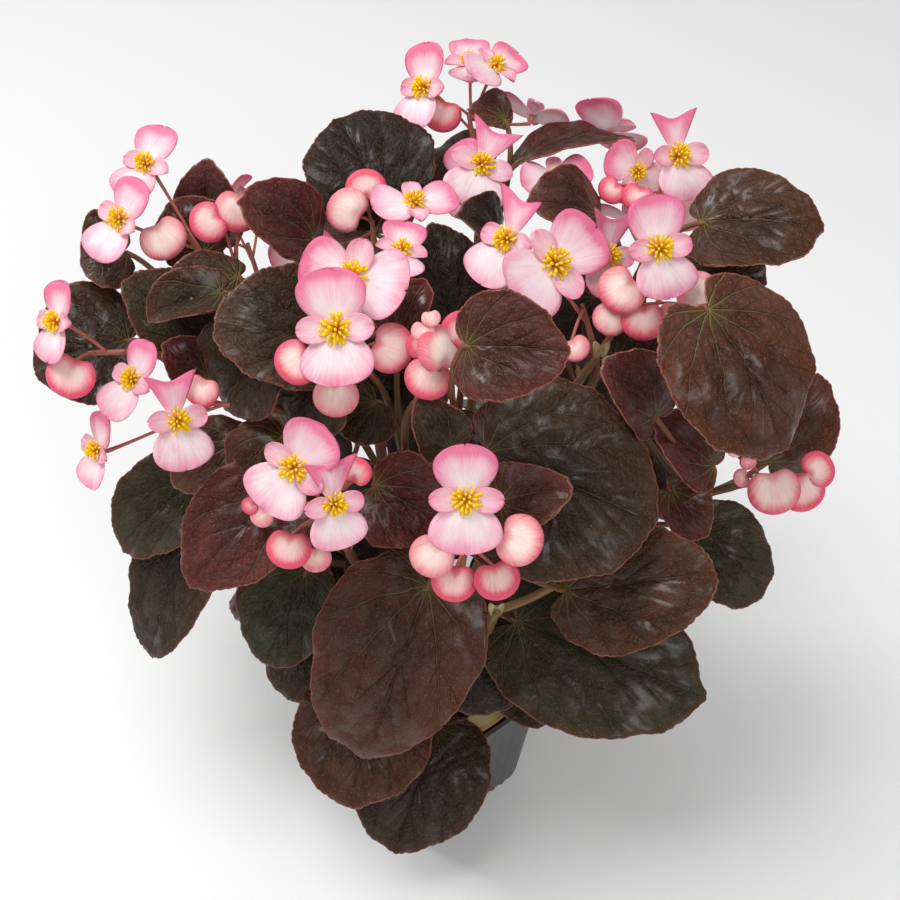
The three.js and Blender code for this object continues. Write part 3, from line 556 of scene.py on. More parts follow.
class Paint:
    """A material under construction, round one Principled shader."""

    def __init__(self, name, **fixed):
        self.material = bpy.data.materials.new(name)
        self.material.use_nodes = True
        self.tree = self.material.node_tree
        self.shader = self.tree.nodes["Principled BSDF"]
        for socket, value in fixed.items():
            self.shader.inputs[socket.replace("_", " ")].default_value = value

    def node(self, kind, settings=None, inputs=None, output=0):
        """One node: its settings first, then the values or links of its sockets."""
        made = self.tree.nodes.new(kind)
        for key, value in (settings or {}).items():
            if key == "stops":
                self.set_stops(made.color_ramp, value)
            else:
                setattr(made, key, value)
        for key, value in (inputs or {}).items():
            if isinstance(value, Amount):
                self.tree.links.new(value.socket, made.inputs[key])
            else:
                made.inputs[key].default_value = value
        return Amount(self, made.outputs[output])

    def set_stops(self, ramp, stops):
        while len(ramp.elements) < len(stops):
            ramp.elements.new(1.0)
        for element, (place, colour) in zip(ramp.elements, stops):
            element.position = place
            element.color = (*colour, 1)

    def maths(self, operation, *amounts):
        return self.node("ShaderNodeMath", {"operation": operation}, dict(enumerate(amounts)))

    def fade(self, amount, start, end):
        """One at the start, nought at the end, smooth between them."""
        return self.node(
            "ShaderNodeMapRange",
            {"interpolation_type": "SMOOTHSTEP"},
            {"Value": amount, "From Min": start, "From Max": end, "To Min": 1.0, "To Max": 0.0},
        )

    def blend(self, amount, first, second):
        """A mix of two colours."""
        inputs = {0: amount}
        for place, colour in ((6, first), (7, second)):
            inputs[place] = colour if isinstance(colour, Amount) else (*colour, 1)
        return self.node("ShaderNodeMix", {"data_type": "RGBA"}, inputs, 2)

    def mark(self, name):
        """A mark that the mesh carries."""
        return self.node("ShaderNodeAttribute", {"attribute_name": name}, output=1)

    def parts(self, vector, count):
        """The first of the three numbers of a vector, as many as are asked for."""
        return [self.node("ShaderNodeSeparateXYZ", None, {0: vector}, part) for part in range(count)]

    def vector(self, *amounts):
        return self.node("ShaderNodeCombineXYZ", None, dict(enumerate(amounts)))

    def noise(self, vector, scale, detail=2.0, rough=0.5):
        inputs = {"Vector": vector, "Scale": scale, "Detail": detail, "Roughness": rough}
        return self.node("ShaderNodeTexNoise", None, inputs)

    def bump(self, height, strength, distance):
        inputs = {"Height": height, "Strength": strength, "Distance": distance}
        self.tree.links.new(self.node("ShaderNodeBump", None, inputs).socket, self.shader.inputs["Normal"])

    def feed(self, socket, amount):
        self.tree.links.new(amount.socket, self.shader.inputs[socket])


def colour(red, green, blue):
    """A colour as it is seen, from 0 to 255, as the light that it sends back."""
    shares = (red / 255, green / 255, blue / 255)
    return tuple(s / 12.92 if s <= 0.04045 else ((s + 0.055) / 1.055) ** 2.4 for s in shares)


# Leaf veins, used by the shapes and by the colours: main veins fan out from the heart and bend
# towards the tip, and side veins leave them in chevrons
VEIN_ANGLE = math.radians(31)
VEIN_BEND = 0.34
SIDE_VEINS = 0.2
SIDE_SLOPE = 0.85


def vein_distances(x, y, length):
    """How far points on a blade lie from a main vein and a side vein, in millimetres."""
    reach = np.hypot(x, y)
    turn = np.arctan2(y, x) / (1 - VEIN_BEND * np.minimum(reach / length, 1.3))
    off = np.abs((turn / VEIN_ANGLE + 0.5) % 1 - 0.5)
    main = off * VEIN_ANGLE * reach
    step = reach * (1 - SIDE_SLOPE * off) / (SIDE_VEINS * length)
    side = np.abs((step + 0.5) % 1 - 0.5) * SIDE_VEINS * length
    return main, side


def leaf_paint():
    paint = Paint("bronze_leaf", IOR=1.27, Coat_Roughness=0.26, Coat_IOR=1.42)
    place = paint.mark("place")
    x, y, edge = paint.parts(place, 3)
    red, grey, light = paint.parts(paint.mark("nature"), 3)
    [length] = paint.parts(paint.mark("form"), 1)
    wander = paint.noise(place, 0.06, 1.0) - 0.5
    x = x + wander * 4.0
    y = y - wander * 3.0
    reach = paint.maths("SQRT", x * x + y * y)
    turn = paint.maths("ARCTAN2", y, x) / (1 - paint.maths("MINIMUM", reach / length, 1.3) * VEIN_BEND)
    off = paint.maths("ABSOLUTE", paint.maths("FRACT", turn * (1 / VEIN_ANGLE) + 20.5) - 0.5)
    main = off * reach * VEIN_ANGLE
    step = reach * (1 - off * SIDE_SLOPE) / (length * SIDE_VEINS)
    side = paint.maths("ABSOLUTE", paint.maths("FRACT", step + 0.5) - 0.5) * length * SIDE_VEINS
    outward = reach / length
    main_mark = paint.fade(main, 0.1, 0.7) * paint.fade(outward, 0.5, 1.15)
    side_mark = paint.fade(side, 0.05, 0.5) * paint.fade(outward, 0.3, 1.1)
    pale = light * 0.8 + 0.1
    heart_glow = paint.fade(reach, 1.0, 30.0) * pale
    heart_wide = paint.fade(main, 0.2, 1.7) * paint.fade(reach, 0.5, 12.0) * pale
    net = paint.node(
        "ShaderNodeTexVoronoi",
        {"feature": "DISTANCE_TO_EDGE"},
        {"Vector": place, "Scale": 0.2, "Randomness": 0.95},
    )
    patches = paint.noise(place, 0.04, 2.0, 0.6)
    highlight_specks = paint.noise(place, 1.4, 0.0)
    # Painted light and shade: each leaf's colour is blended from a lit copy and a shaded copy by the light
    # share of its tone, which stands partly for how much light falls on the leaf and partly for its own
    # depth of bronze
    lit = paint.blend(red, colour(104, 60, 30), colour(110, 40, 32))
    lit = paint.blend(grey, lit, colour(76, 74, 48))
    dark = paint.blend(red, colour(36, 23, 15), colour(46, 14, 15))
    dark = paint.blend(grey, dark, colour(37, 37, 23))
    # Darker towards the shaded copy in random patches, which are the leaf's own uneven tone, and along the
    # creases of the pucker net, which is painted shade
    depth = paint.fade(patches, 0.3, 0.7) * 0.55 + paint.fade(net, 0.02, 0.2) * 0.2
    body = paint.blend(light, dark, lit)
    body = paint.blend(depth, body, dark)
    rusty = paint.blend(red, colour(104, 56, 34), colour(120, 44, 38))
    body = paint.blend(paint.fade(edge, 0.6, 9.0) * (0.06 + light * 0.45), body, rusty)
    vein_colour = paint.blend(heart_glow, colour(134, 106, 82), colour(146, 138, 62))
    body = paint.blend(main_mark * (0.2 + light * 0.4 + heart_glow * 0.3), body, vein_colour)
    body = paint.blend(side_mark * 0.45 * pale, body, colour(116, 86, 64))
    body = paint.blend(heart_wide * 0.6, body, colour(124, 118, 52))
    # Painted highlights: small pale specks, as if light glinted off the puckered surface
    body = paint.blend(paint.fade(highlight_specks, 0.76, 0.7) * 0.3, body, colour(150, 140, 110))
    body = paint.blend(paint.fade(edge, 0.15, 0.75) * (0.55 + light * 0.35), body, colour(166, 96, 80))
    paint.feed("Base Color", body)
    shine = paint.noise(place, 0.09, 1.0)
    paint.feed("Roughness", 0.4 + patches * 0.16 + grey * 0.06)
    paint.feed("Coat Weight", paint.fade(shine, 0.7, 0.34) * (0.4 + light * 0.6) + 0.06)
    grooves = main_mark * -1.5 + side_mark * -1.0
    relief = net * 1.5 + grooves + paint.noise(place, 0.9, 2.0) * 0.5
    paint.bump(relief, 0.9, 0.0014)
    return paint.material


def under_paint():
    paint = Paint("leaf_underside", IOR=1.4)
    place = paint.mark("place")
    x, y = paint.parts(place, 2)
    red, grey = paint.parts(paint.mark("nature"), 2)
    reach = paint.maths("SQRT", x * x + y * y)
    turn = paint.maths("ARCTAN2", y, x)
    off = paint.maths("ABSOLUTE", paint.maths("FRACT", turn * (1 / VEIN_ANGLE) + 20.5) - 0.5)
    main_mark = paint.fade(off * reach * VEIN_ANGLE, 0.2, 1.3)
    body = paint.blend(red, colour(104, 78, 62), colour(118, 54, 52))
    body = paint.blend(grey, body, colour(120, 116, 84))
    body = paint.blend(paint.fade(paint.noise(place, 0.06, 3.0), 0.3, 0.7) * 0.5, body, colour(70, 40, 34))
    body = paint.blend(main_mark * 0.8, body, colour(150, 120, 84))
    paint.feed("Base Color", body)
    paint.feed("Roughness", 0.48 + paint.noise(place, 0.4, 2.0) * 0.14)
    paint.bump(main_mark * 1.2 + paint.noise(place, 0.5, 3.0) * 0.4, 0.5, 0.001)
    return paint.material


def stem_paint():
    paint = Paint("fleshy_stem", IOR=1.4, Subsurface_Weight=0.12, Subsurface_Scale=0.002)
    place = paint.mark("place")
    red, pale = paint.parts(paint.mark("nature"), 2)
    streaks = paint.noise(place, 0.35, 3.0, 0.6)
    body = paint.blend(red, colour(110, 112, 62), colour(128, 60, 48))
    body = paint.blend(pale, body, colour(216, 122, 112))
    body = paint.blend(paint.fade(streaks, 0.3, 0.7) * 0.45, body, colour(92, 50, 38))
    paint.feed("Base Color", body)
    paint.feed("Roughness", 0.36 + streaks * 0.2)
    paint.bump(streaks, 0.35, 0.0006)
    return paint.material


def petal_paint():
    paint = Paint("blush_petal", IOR=1.3, Subsurface_Weight=0.2, Subsurface_Scale=0.004)
    share, sideways, edge = paint.parts(paint.mark("place"), 3)
    pink, bud_part = paint.parts(paint.mark("nature"), 2)
    length, half, shift = paint.parts(paint.mark("form"), 3)
    spread = paint.maths("ARCTAN2", sideways * half, share * length + 2.0)
    lines = paint.vector(spread * 24.0, share * 1.2, shift * 9.0)
    streaks = paint.noise(lines, 1.1, 2.0, 0.6)
    cloud = paint.noise(paint.vector(share, sideways, shift * 7.0), 2.2)
    inner = paint.blend(bud_part, colour(252, 234, 238), colour(254, 234, 224))
    rosy = paint.blend(bud_part, colour(236, 122, 158), colour(230, 92, 116))
    flower_rim = paint.fade(edge, 0.2, 8.5) * (0.22 + pink * 0.42)
    bud_rim = paint.fade(edge, 0.1, 7.0) * (0.35 + pink * 0.6) + (pink - 0.5) * 0.3
    rim = flower_rim * (1 - bud_part) + bud_rim * bud_part
    tip = paint.fade(share, 1.15, 0.1) * (pink * 1.0 - 0.05) * (1 - bud_part * 0.6)
    amount = rim + tip + (cloud - 0.46) * 0.55 + paint.fade(streaks, 0.66, 0.4) * 0.14
    amount = paint.maths("MINIMUM", paint.maths("MAXIMUM", amount, 0.0), 1.0)
    body = paint.blend(amount, inner, rosy)
    body = paint.blend(paint.fade(edge, 0.05, 1.0) * (0.04 + pink * 0.42), body, colour(222, 74, 112))
    paint.feed("Base Color", body)
    paint.feed("Roughness", 0.46 + streaks * 0.14)
    paint.bump(streaks * 0.8 + paint.noise(lines, 6.0, 2.0) * 0.2, 0.35, 0.0007)
    return paint.material


def stamen_paint():
    paint = Paint("golden_stamen", IOR=1.35, Subsurface_Weight=0.35, Subsurface_Scale=0.003)
    place = paint.mark("place")
    [share] = paint.parts(place, 1)
    body = paint.blend(share, colour(255, 190, 8), colour(255, 222, 34))
    body = paint.blend(paint.fade(paint.noise(place, 3.0, 2.0), 0.35, 0.65) * 0.2, body, colour(250, 178, 2))
    paint.feed("Base Color", body)
    paint.feed("Roughness", 0.5 + paint.noise(place, 6.0, 1.0) * 0.2)
    return paint.material


def stipule_paint():
    paint = Paint("papery_stipule", IOR=1.4, Subsurface_Weight=0.2, Subsurface_Scale=0.003)
    place = paint.mark("place")
    share, _, edge = paint.parts(place, 3)
    body = paint.blend(share, colour(166, 170, 104), colour(206, 196, 150))
    body = paint.blend(paint.fade(edge, 0.0, 1.6) * 0.6, body, colour(176, 112, 82))
    paint.feed("Base Color", body)
    paint.feed("Roughness", 0.55 + paint.noise(place, 4.0, 2.0) * 0.2)
    return paint.material


def pot_paint():
    paint = Paint("grey_pot_plastic", IOR=1.46)
    where = paint.node("ShaderNodeTexCoord", output=3)
    grain = paint.noise(where, 900.0, 3.0, 0.6)
    smudge = paint.noise(where, 26.0, 4.0, 0.6)
    body = paint.blend(paint.fade(smudge, 0.35, 0.7), colour(98, 99, 103), colour(80, 81, 85))
    dust = paint.fade(paint.noise(where, 60.0, 4.0, 0.7), 0.72, 0.5)
    body = paint.blend((1 - dust) * 0.16, body, colour(120, 112, 102))
    paint.feed("Base Color", body)
    paint.feed("Roughness", 0.42 + smudge * 0.2 + grain * 0.06)
    paint.bump(grain, 0.14, 0.0003)
    return paint.material


def soil_paint():
    paint = Paint("potting_soil", IOR=1.35)
    where = paint.node("ShaderNodeTexCoord", output=3)
    crumbs = paint.noise(where, 340.0, 5.0, 0.7)
    clods = paint.node("ShaderNodeTexVoronoi", {"feature": "F1"}, {"Vector": where, "Scale": 260.0})
    body = paint.blend(paint.fade(crumbs, 0.35, 0.65), colour(66, 48, 36), colour(24, 17, 12))
    body = paint.blend(paint.fade(clods, 0.1, 0.3) * 0.3, body, colour(104, 82, 60))
    paint.feed("Base Color", body)
    paint.feed("Roughness", 0.78 + crumbs * 0.18)
    paint.bump(crumbs * 1.2 + clods * -0.5, 0.9, 0.0016)
    return paint.material


# Meshes with marks

class Shape:
    """Points, faces and marks of one piece, gathered part by part.

    The marks tell a material where a point lies on its part, what the part is like and how large it is.
    """

    def __init__(self):
        self.points = []
        self.faces = []
        self.paints = []
        self.marks = {"place": [], "nature": [], "form": []}
        self.count = 0

    def add(self, points, faces, paint, place, nature, form=None):
        points = np.asarray(points, dtype=float)
        rows = len(points)
        self.points.append(points)
        for face in faces:
            self.faces.append([corner + self.count for corner in face])
        self.paints.extend(paint if isinstance(paint, list) else [paint] * len(faces))
        self.marks["place"].append(np.asarray(place, dtype=float))
        self.marks["nature"].append(np.tile(np.asarray(nature, dtype=float), (rows, 1)))
        self.marks["form"].append(np.tile(np.asarray(form or (1, 1, 0), dtype=float), (rows, 1)))
        self.count += rows

    def build(self, name, materials):
        mesh = bpy.data.meshes.new(name)
        mesh.from_pydata((np.vstack(self.points) * MM).tolist(), [], self.faces)
        for material in materials:
            mesh.materials.append(material)
        mesh.polygons.foreach_set("material_index", self.paints)
        mesh.polygons.foreach_set("use_smooth", [True] * len(mesh.polygons))
        for mark, rows in self.marks.items():
            layer = mesh.attributes.new(mark, "FLOAT_VECTOR", "POINT")
            layer.data.foreach_set("vector", np.vstack(rows).ravel())
        mesh.update()
        piece = bpy.data.objects.new(name, mesh)
        bpy.context.scene.collection.objects.link(piece)
        return piece


def bend(start, middle, end, steps):
    """Points along a bent line from start to end that leans on the middle point."""
    shares = [step / steps for step in range(steps + 1)]
    return [start * (1 - s) ** 2 + middle * (2 * s * (1 - s)) + end * s ** 2 for s in shares]


def cubic(start, rising, arriving, end, steps):
    """Points along a curve that leaves the start towards one point and comes to the end from another."""
    points = []
    for step in range(steps + 1):
        s = step / steps
        r = 1 - s
        points.append(start * r ** 3 + rising * (3 * r * r * s) + arriving * (3 * r * s * s) + end * s ** 3)
    return points


def rings_along(points, sizes, sides, first_side):
    """Rings round a line of points: each size is a half width and a half thickness."""
    rings = []
    side = first_side.copy()
    for index, point in enumerate(points):
        before = points[max(index - 1, 0)]
        after = points[min(index + 1, len(points) - 1)]
        forward = (after - before).normalized()
        side = (side - forward * side.dot(forward)).normalized()
        other = forward.cross(side)
        wide, thick = sizes[index]
        for step in range(sides):
            angle = 2 * math.pi * step / sides
            rings.append(point + side * (wide * math.cos(angle)) + other * (thick * math.sin(angle)))
    return rings


def tube_faces(levels, count):
    """Faces round a tube of rings, and its two ends."""
    faces = []
    for level in range(levels - 1):
        for step in range(count):
            a = level * count + step
            b = level * count + (step + 1) % count
            faces.append([a, b, b + count, a + count])
    faces.append(list(range(count - 1, -1, -1)))
    faces.append([(levels - 1) * count + step for step in range(count)])
    return faces


def add_rod(shape, points, radii, paint, nature, sides=10, knots=()):
    """A round stalk along a line of points, with a swelling at each knot's share of its length."""
    total = len(points) - 1
    sizes = []
    for index in range(len(points)):
        share = index / total
        radius = radii[0] + (radii[1] - radii[0]) * share
        swell = sum(0.28 * math.exp(-((share - knot) / 0.03) ** 2) for knot in knots)
        sizes.append((radius * (1 + swell), radius * (1 + swell)))
    rings = rings_along(points, sizes, sides, Vector((0.3, 0.9, 0.1)))
    reach = [0.0]
    for first, second in zip(points, points[1:]):
        reach.append(reach[-1] + (second - first).length)
    place = []
    for index in range(len(points)):
        for step in range(sides):
            angle = 2 * math.pi * step / sides
            place.append((reach[index] * 0.25, 2 * math.cos(angle), 2 * math.sin(angle)))
    shape.add(rings, tube_faces(len(points), sides), paint, place, nature)


def facing(start, end, face, roll):
    """The ways along, out of and across a flat part that lies from start to end and looks to face."""
    along = (end - start).normalized()
    normal = (face - along * face.dot(along)).normalized()
    normal = Matrix.Rotation(math.radians(roll), 3, along) @ normal
    return along, normal, along.cross(normal).normalized()


def sheet_faces(around, levels):
    """Faces of a disc of rings round a middle point, its underside and the wall between them."""
    faces = []
    paints = []
    count = around * levels + 1
    for flip, shift in ((False, 0), (True, count)):
        for level in range(levels - 1):
            for step in range(around):
                a = shift + level * around + step
                b = shift + level * around + (step + 1) % around
                quad = [a, b, b + around, a + around]
                faces.append(quad[::-1] if flip else quad)
                paints.append(1 if flip else 0)
        last = shift + (levels - 1) * around
        for step in range(around):
            fan = [last + step, last + (step + 1) % around, shift + count - 1]
            faces.append(fan[::-1] if flip else fan)
            paints.append(1 if flip else 0)
    for step in range(around):
        b = (step + 1) % around
        faces.append([step, step + count, b + count, b])
        paints.append(0)
    return faces, paints


# Leaves

# Each tone gives a leaf's redness, greyness and light. The light share blends its colour from a shaded copy
# to a lit copy, which is painted light and shade as well as the leaf's own depth of colour, and the black
# and dark tones paint a leaf in shade
LEAF_TONES = {
    "brown": (0.3, 0.05, 0.55),
    "red": (0.8, 0.0, 0.6),
    "maroon": (1.0, 0.0, 0.42),
    "plum": (0.85, 0.15, 0.5),
    "dark": (0.15, 0.25, 0.25),
    "black": (0.2, 0.2, 0.0),
    "olive": (0.0, 0.8, 0.4),
    "green": (0.0, 1.0, 0.35),
    "grey": (0.35, 0.45, 0.4),
    "glossy": (0.25, 0.1, 0.45),
}


def leaf_outline(angle):
    """The outline of a leaf by the angle round it, with its two lobes and the notch between them."""
    share = LEAF_MIDDLE - LEAF_HALF * np.cos(angle)
    sideways = np.sin(angle) * (1 + 0.14 * np.cos(angle))
    return share, sideways


def add_leaf(shape, given, lines, number, plain=False):
    """A leaf and its petiole, which leaves the nearest of the lines; the place where it does is returned."""
    rng = np.random.default_rng(100 + number)
    heart, tip, width = given["heart"], given["tip"], given["width"]
    arch, cup, fold = given.get("arch", 4), given.get("cup", 3), given.get("fold", 0)
    lean = given.get("lean", 0.05)
    length = (tip - heart).length
    middle = heart.lerp(tip, 0.5)
    outward = Vector((middle.x, middle.y, 0)).normalized()
    face = given.get("face", TO_VIEWER * 0.7 + outward * 0.25 + UP * 0.3)
    along, normal, side = facing(heart, tip, face, given.get("roll", 0))

    large = width > LARGE_LEAF
    around, levels = LARGE_LEAF_MESH if large else SMALL_LEAF_MESH
    if plain:
        around, levels = INNER_LEAF_MESH
    angle = np.linspace(0, 2 * math.pi, around, endpoint=False) + math.pi / around
    share, sideways = leaf_outline(angle)
    sideways = sideways + lean * np.sin(angle / 2) * np.minimum(1, np.abs(sideways) * 3)
    from_notch = np.minimum(angle, 2 * math.pi - angle)
    opening = np.clip(from_notch / NOTCH_ANGLE, 0, 1)
    opening = opening * opening * (3 - 2 * opening)
    share = share * opening
    sideways = sideways * (0.35 + 0.65 * opening)
    teeth = LARGE_LEAF_TEETH if large else SMALL_LEAF_TEETH
    size = width / PUCKERED_WIDTH
    bite = TOOTH_DEPTH * np.abs(np.sin(teeth * angle / 2 + rng.uniform(0, 3))) ** 0.7
    bite = bite * (0.6 + 0.4 * np.sin(11 * angle + rng.uniform(0, 6)))
    ragged = 0
    for waves, depth in UNEVEN_WAVES:
        ragged = ragged + depth * np.sin(waves * angle + rng.uniform(0, 6))
    point = POINT_LENGTH * np.exp(-(((angle - math.pi) / POINT_ANGLE) ** 2))
    swell = 0.985 + (bite + ragged) * opening + point
    scale = 1 - (np.arange(levels) / levels) ** 1.25
    rim_x = LEAF_HUB + (share - LEAF_HUB) * swell
    rim_y = sideways * swell
    grid_x = LEAF_HUB + (rim_x[None, :] - LEAF_HUB) * scale[:, None]
    grid_y = rim_y[None, :] * scale[:, None]
    grid_x = np.append(grid_x.ravel(), LEAF_HUB)
    grid_y = np.append(grid_y.ravel(), 0.0)
    ring = np.append(np.repeat(scale, around), 0.0)
    turn = np.append(np.tile(angle, levels), 0.0)

    x = grid_x * length
    y = grid_y * width * 0.5
    rise = arch * 4 * grid_x * (1 - grid_x) + cup * grid_y ** 2 + fold * np.abs(grid_y)
    ripple = np.clip((ring - 0.5) / 0.5, 0, 1) ** 1.5
    rise = rise + MARGIN_WAVE * np.sin(3 * turn + width) * ripple
    rise = rise + ripple * size * 0.7 * np.sin(7 * turn + rng.uniform(0, 6))
    rise = rise + ripple ** 3 * size * 0.5 * np.sin(13 * turn + rng.uniform(0, 6))
    main, other = vein_distances(x, y, length)
    main_puff = MAIN_PUCKER * (1 - np.exp(-main / MAIN_PUCKER_REACH))
    side_puff = SIDE_PUCKER * (1 - np.exp(-other / SIDE_PUCKER_REACH))
    puff = size * (main_puff + side_puff)
    soft = np.clip(np.hypot(x, y) / 12, 0, 1) * (1 - 0.7 * ring ** 4)
    rise = rise + (puff - 1.6 * size) * soft
    radial = np.hypot(x - LEAF_HUB * length, y)
    edge = radial * (1 / np.maximum(ring, 0.08) - 1)

    def lay(height):
        points = np.outer(x, along) + np.outer(y, side) + np.outer(height, normal)
        return points + np.array(heart)

    points = np.vstack([lay(rise), lay(rise - LEAF_THICKNESS)])
    place = np.column_stack([x, y, edge])
    place = np.vstack([place, place])
    tone = np.array(LEAF_TONES[given.get("tone", "brown")])
    tone = np.clip(tone + rng.uniform(-0.07, 0.07, 3), 0, 1)
    faces, paints = sheet_faces(around, levels)
    shape.add(points, faces, paints, place, tone, (length, width / 2, rng.uniform(0, 1)))
    start = axil(lines, heart)
    reach = (start - heart).length
    root = heart + along * (-0.03 * length) + normal * (-0.5 * LEAF_THICKNESS - 0.6)
    lead = heart - along * (0.45 * reach)
    hang = start.lerp(heart, 0.5).lerp(lead, 0.4) + UP * (0.06 * reach)
    seat = heart + along * (0.05 * length) + normal * (-LEAF_THICKNESS)
    route = [seat] + bend(root, hang, start, 12)
    redness = rng.uniform(0.35, 0.95)
    add_rod(shape, route, (PETIOLE_RADIUS * 0.8, PETIOLE_RADIUS * 1.1), STALK_PAINT, (redness, 0, 0))
    return start


def axil(lines, heart):
    """The nearest place on a leafy stem for a petiole to leave from, a little below the leaf."""
    candidates = [point for line in lines for point in line[1:-2]]
    return min(candidates, key=lambda p: (p - heart).length + 1.5 * max(0.0, p.z - heart.z + 14))


def add_blade(shape, base, tip, face, width, paint, nature, cup=2.0):
    """A small leafy scale, such as a stipule."""
    along, normal, side = facing(base, tip, face, 0)
    length = (tip - base).length
    around, levels = SCALE_MESH
    angle = np.linspace(0, 2 * math.pi, around, endpoint=False)
    scale = 1 - np.arange(levels) / levels
    rim_x = 0.5 - 0.5 * np.cos(angle)
    rim_y = np.sin(angle) * (1 - 0.3 * rim_x)
    x = np.append((0.4 + (rim_x[None, :] - 0.4) * scale[:, None]).ravel(), 0.4)
    y = np.append((rim_y[None, :] * scale[:, None]).ravel(), 0.0)
    edge = np.append(np.repeat(1 - scale, around), 1.0) * width * 0.5
    rise = cup * y ** 2 + cup * 0.6 * x ** 2 * np.sin(3 * x)
    points = np.outer(x * length, along) + np.outer(y * width / 2, side) + np.outer(rise, normal)
    points = points + np.array(base)
    under = points - np.array(normal) * 0.35
    place = np.column_stack([x, y, edge])
    faces, _ = sheet_faces(around, levels)
    shape.add(np.vstack([points, under]), faces, paint, np.vstack([place, place]), nature)


def stem_lines(stem, ends):
    """The main line of a leafy stem and its branches: coarse ones, as its petioles leave them."""
    foot = at(stem["foot"][0], stem["foot"][1], SOIL_HEIGHT - HOLE_DEPTH + 2 * CLEARANCE)
    coarse = []
    fine = []
    for index, (top, heading) in enumerate(ends):
        main = index == 0
        start = Vector((foot.x, foot.y, SOIL_HEIGHT + 6)) if main else coarse[0][min(1 + index, 3)]
        reach = (start - top).length
        rising = start + UP * ((0.45 if main else 0.25) * reach)
        arriving = top - heading * (0.2 * reach)
        neck = top - heading * NECK_LENGTH
        for lines, steps in ((coarse, 5 if main else 3), (fine, 30 if main else 16)):
            line = cubic(start, rising, arriving, neck, steps)
            line.append(top)
            if main:
                line.insert(0, foot)
            lines.append(line)
    return coarse, fine


def stem_ends(name, stem):
    """Where a leafy stem's branches end: at the sprays that they carry and at bare shoots."""
    ends = [(spray["start"], heading(spray)) for spray in SPRAYS if spray["stem"] == name]
    return ends + [(top, UP) for top in stem.get("shoots", [])]


def leafy_stem(name, stem, materials):
    """One stem from the soil up, with its branches, leaves, petioles and papery stipules."""
    coarse, fine = stem_lines(stem, stem_ends(name, stem))
    rng = random.Random(name)
    shape = Shape()
    for index, line in enumerate(fine):
        thick = STEM_RADIUS if index == 0 else STEM_TOP_RADIUS
        knots = MAIN_KNOTS if index == 0 else BRANCH_KNOTS
        nature = (rng.uniform(0.3, 0.9), 0, 0)
        add_rod(shape, line, (thick, STEM_TOP_RADIUS * 0.8), STALK_PAINT, nature, STEM_SIDES, knots)
    for index, given in enumerate(stem["leaves"]):
        number = 20 * list(STEMS).index(name) + index
        start = add_leaf(shape, given, coarse, number)
        away = (given["heart"] - start).normalized()
        for turn in (-1, 1):
            lean = Matrix.Rotation(turn * 0.9, 3, "Z") @ away
            tip = start + lean * 5 + UP * rng.uniform(7, 11)
            base = start + lean * 1.2 - UP * 2
            add_blade(shape, base, tip, -lean + UP * 0.3, rng.uniform(5, 7), SCALE_PAINT, (0, 0, 0))
    piece = shape.build(f"{name}_stem_and_leaves", materials)
    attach(piece, "root")
    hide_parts(f"leafy_stem_{name}")


def heading(spray):
    """The way that a stem's branch points where it passes into the spray."""
    return (spray["fork"] - spray["start"]).normalized()


# Blooms, buds and their stalks

def bloom_frame(given):
    """The ways that a bloom looks, its top petal points and its right petal points."""
    outward = Vector((given["centre"].x, given["centre"].y, 0)).normalized()
    face = given.get("look", TO_VIEWER + outward * 0.3).normalized()
    top = (VIEW_UP - face * VIEW_UP.dot(face)).normalized()
    top = Matrix.Rotation(math.radians(-given["spin"]), 3, face) @ top
    return face, top, top.cross(face).normalized()


def petal_half_width(share, middle):
    """How wide a petal is along its length: it swells to its middle and ends in a round."""
    before = 1 - 0.74 * np.clip((middle - share) / middle, 0, 1) ** 2.1
    after = np.sqrt(np.clip(1 - np.clip((share - middle) / (1 - middle), 0, 1) ** 2.3, 0, 1))
    return np.where(share < middle, before, after)


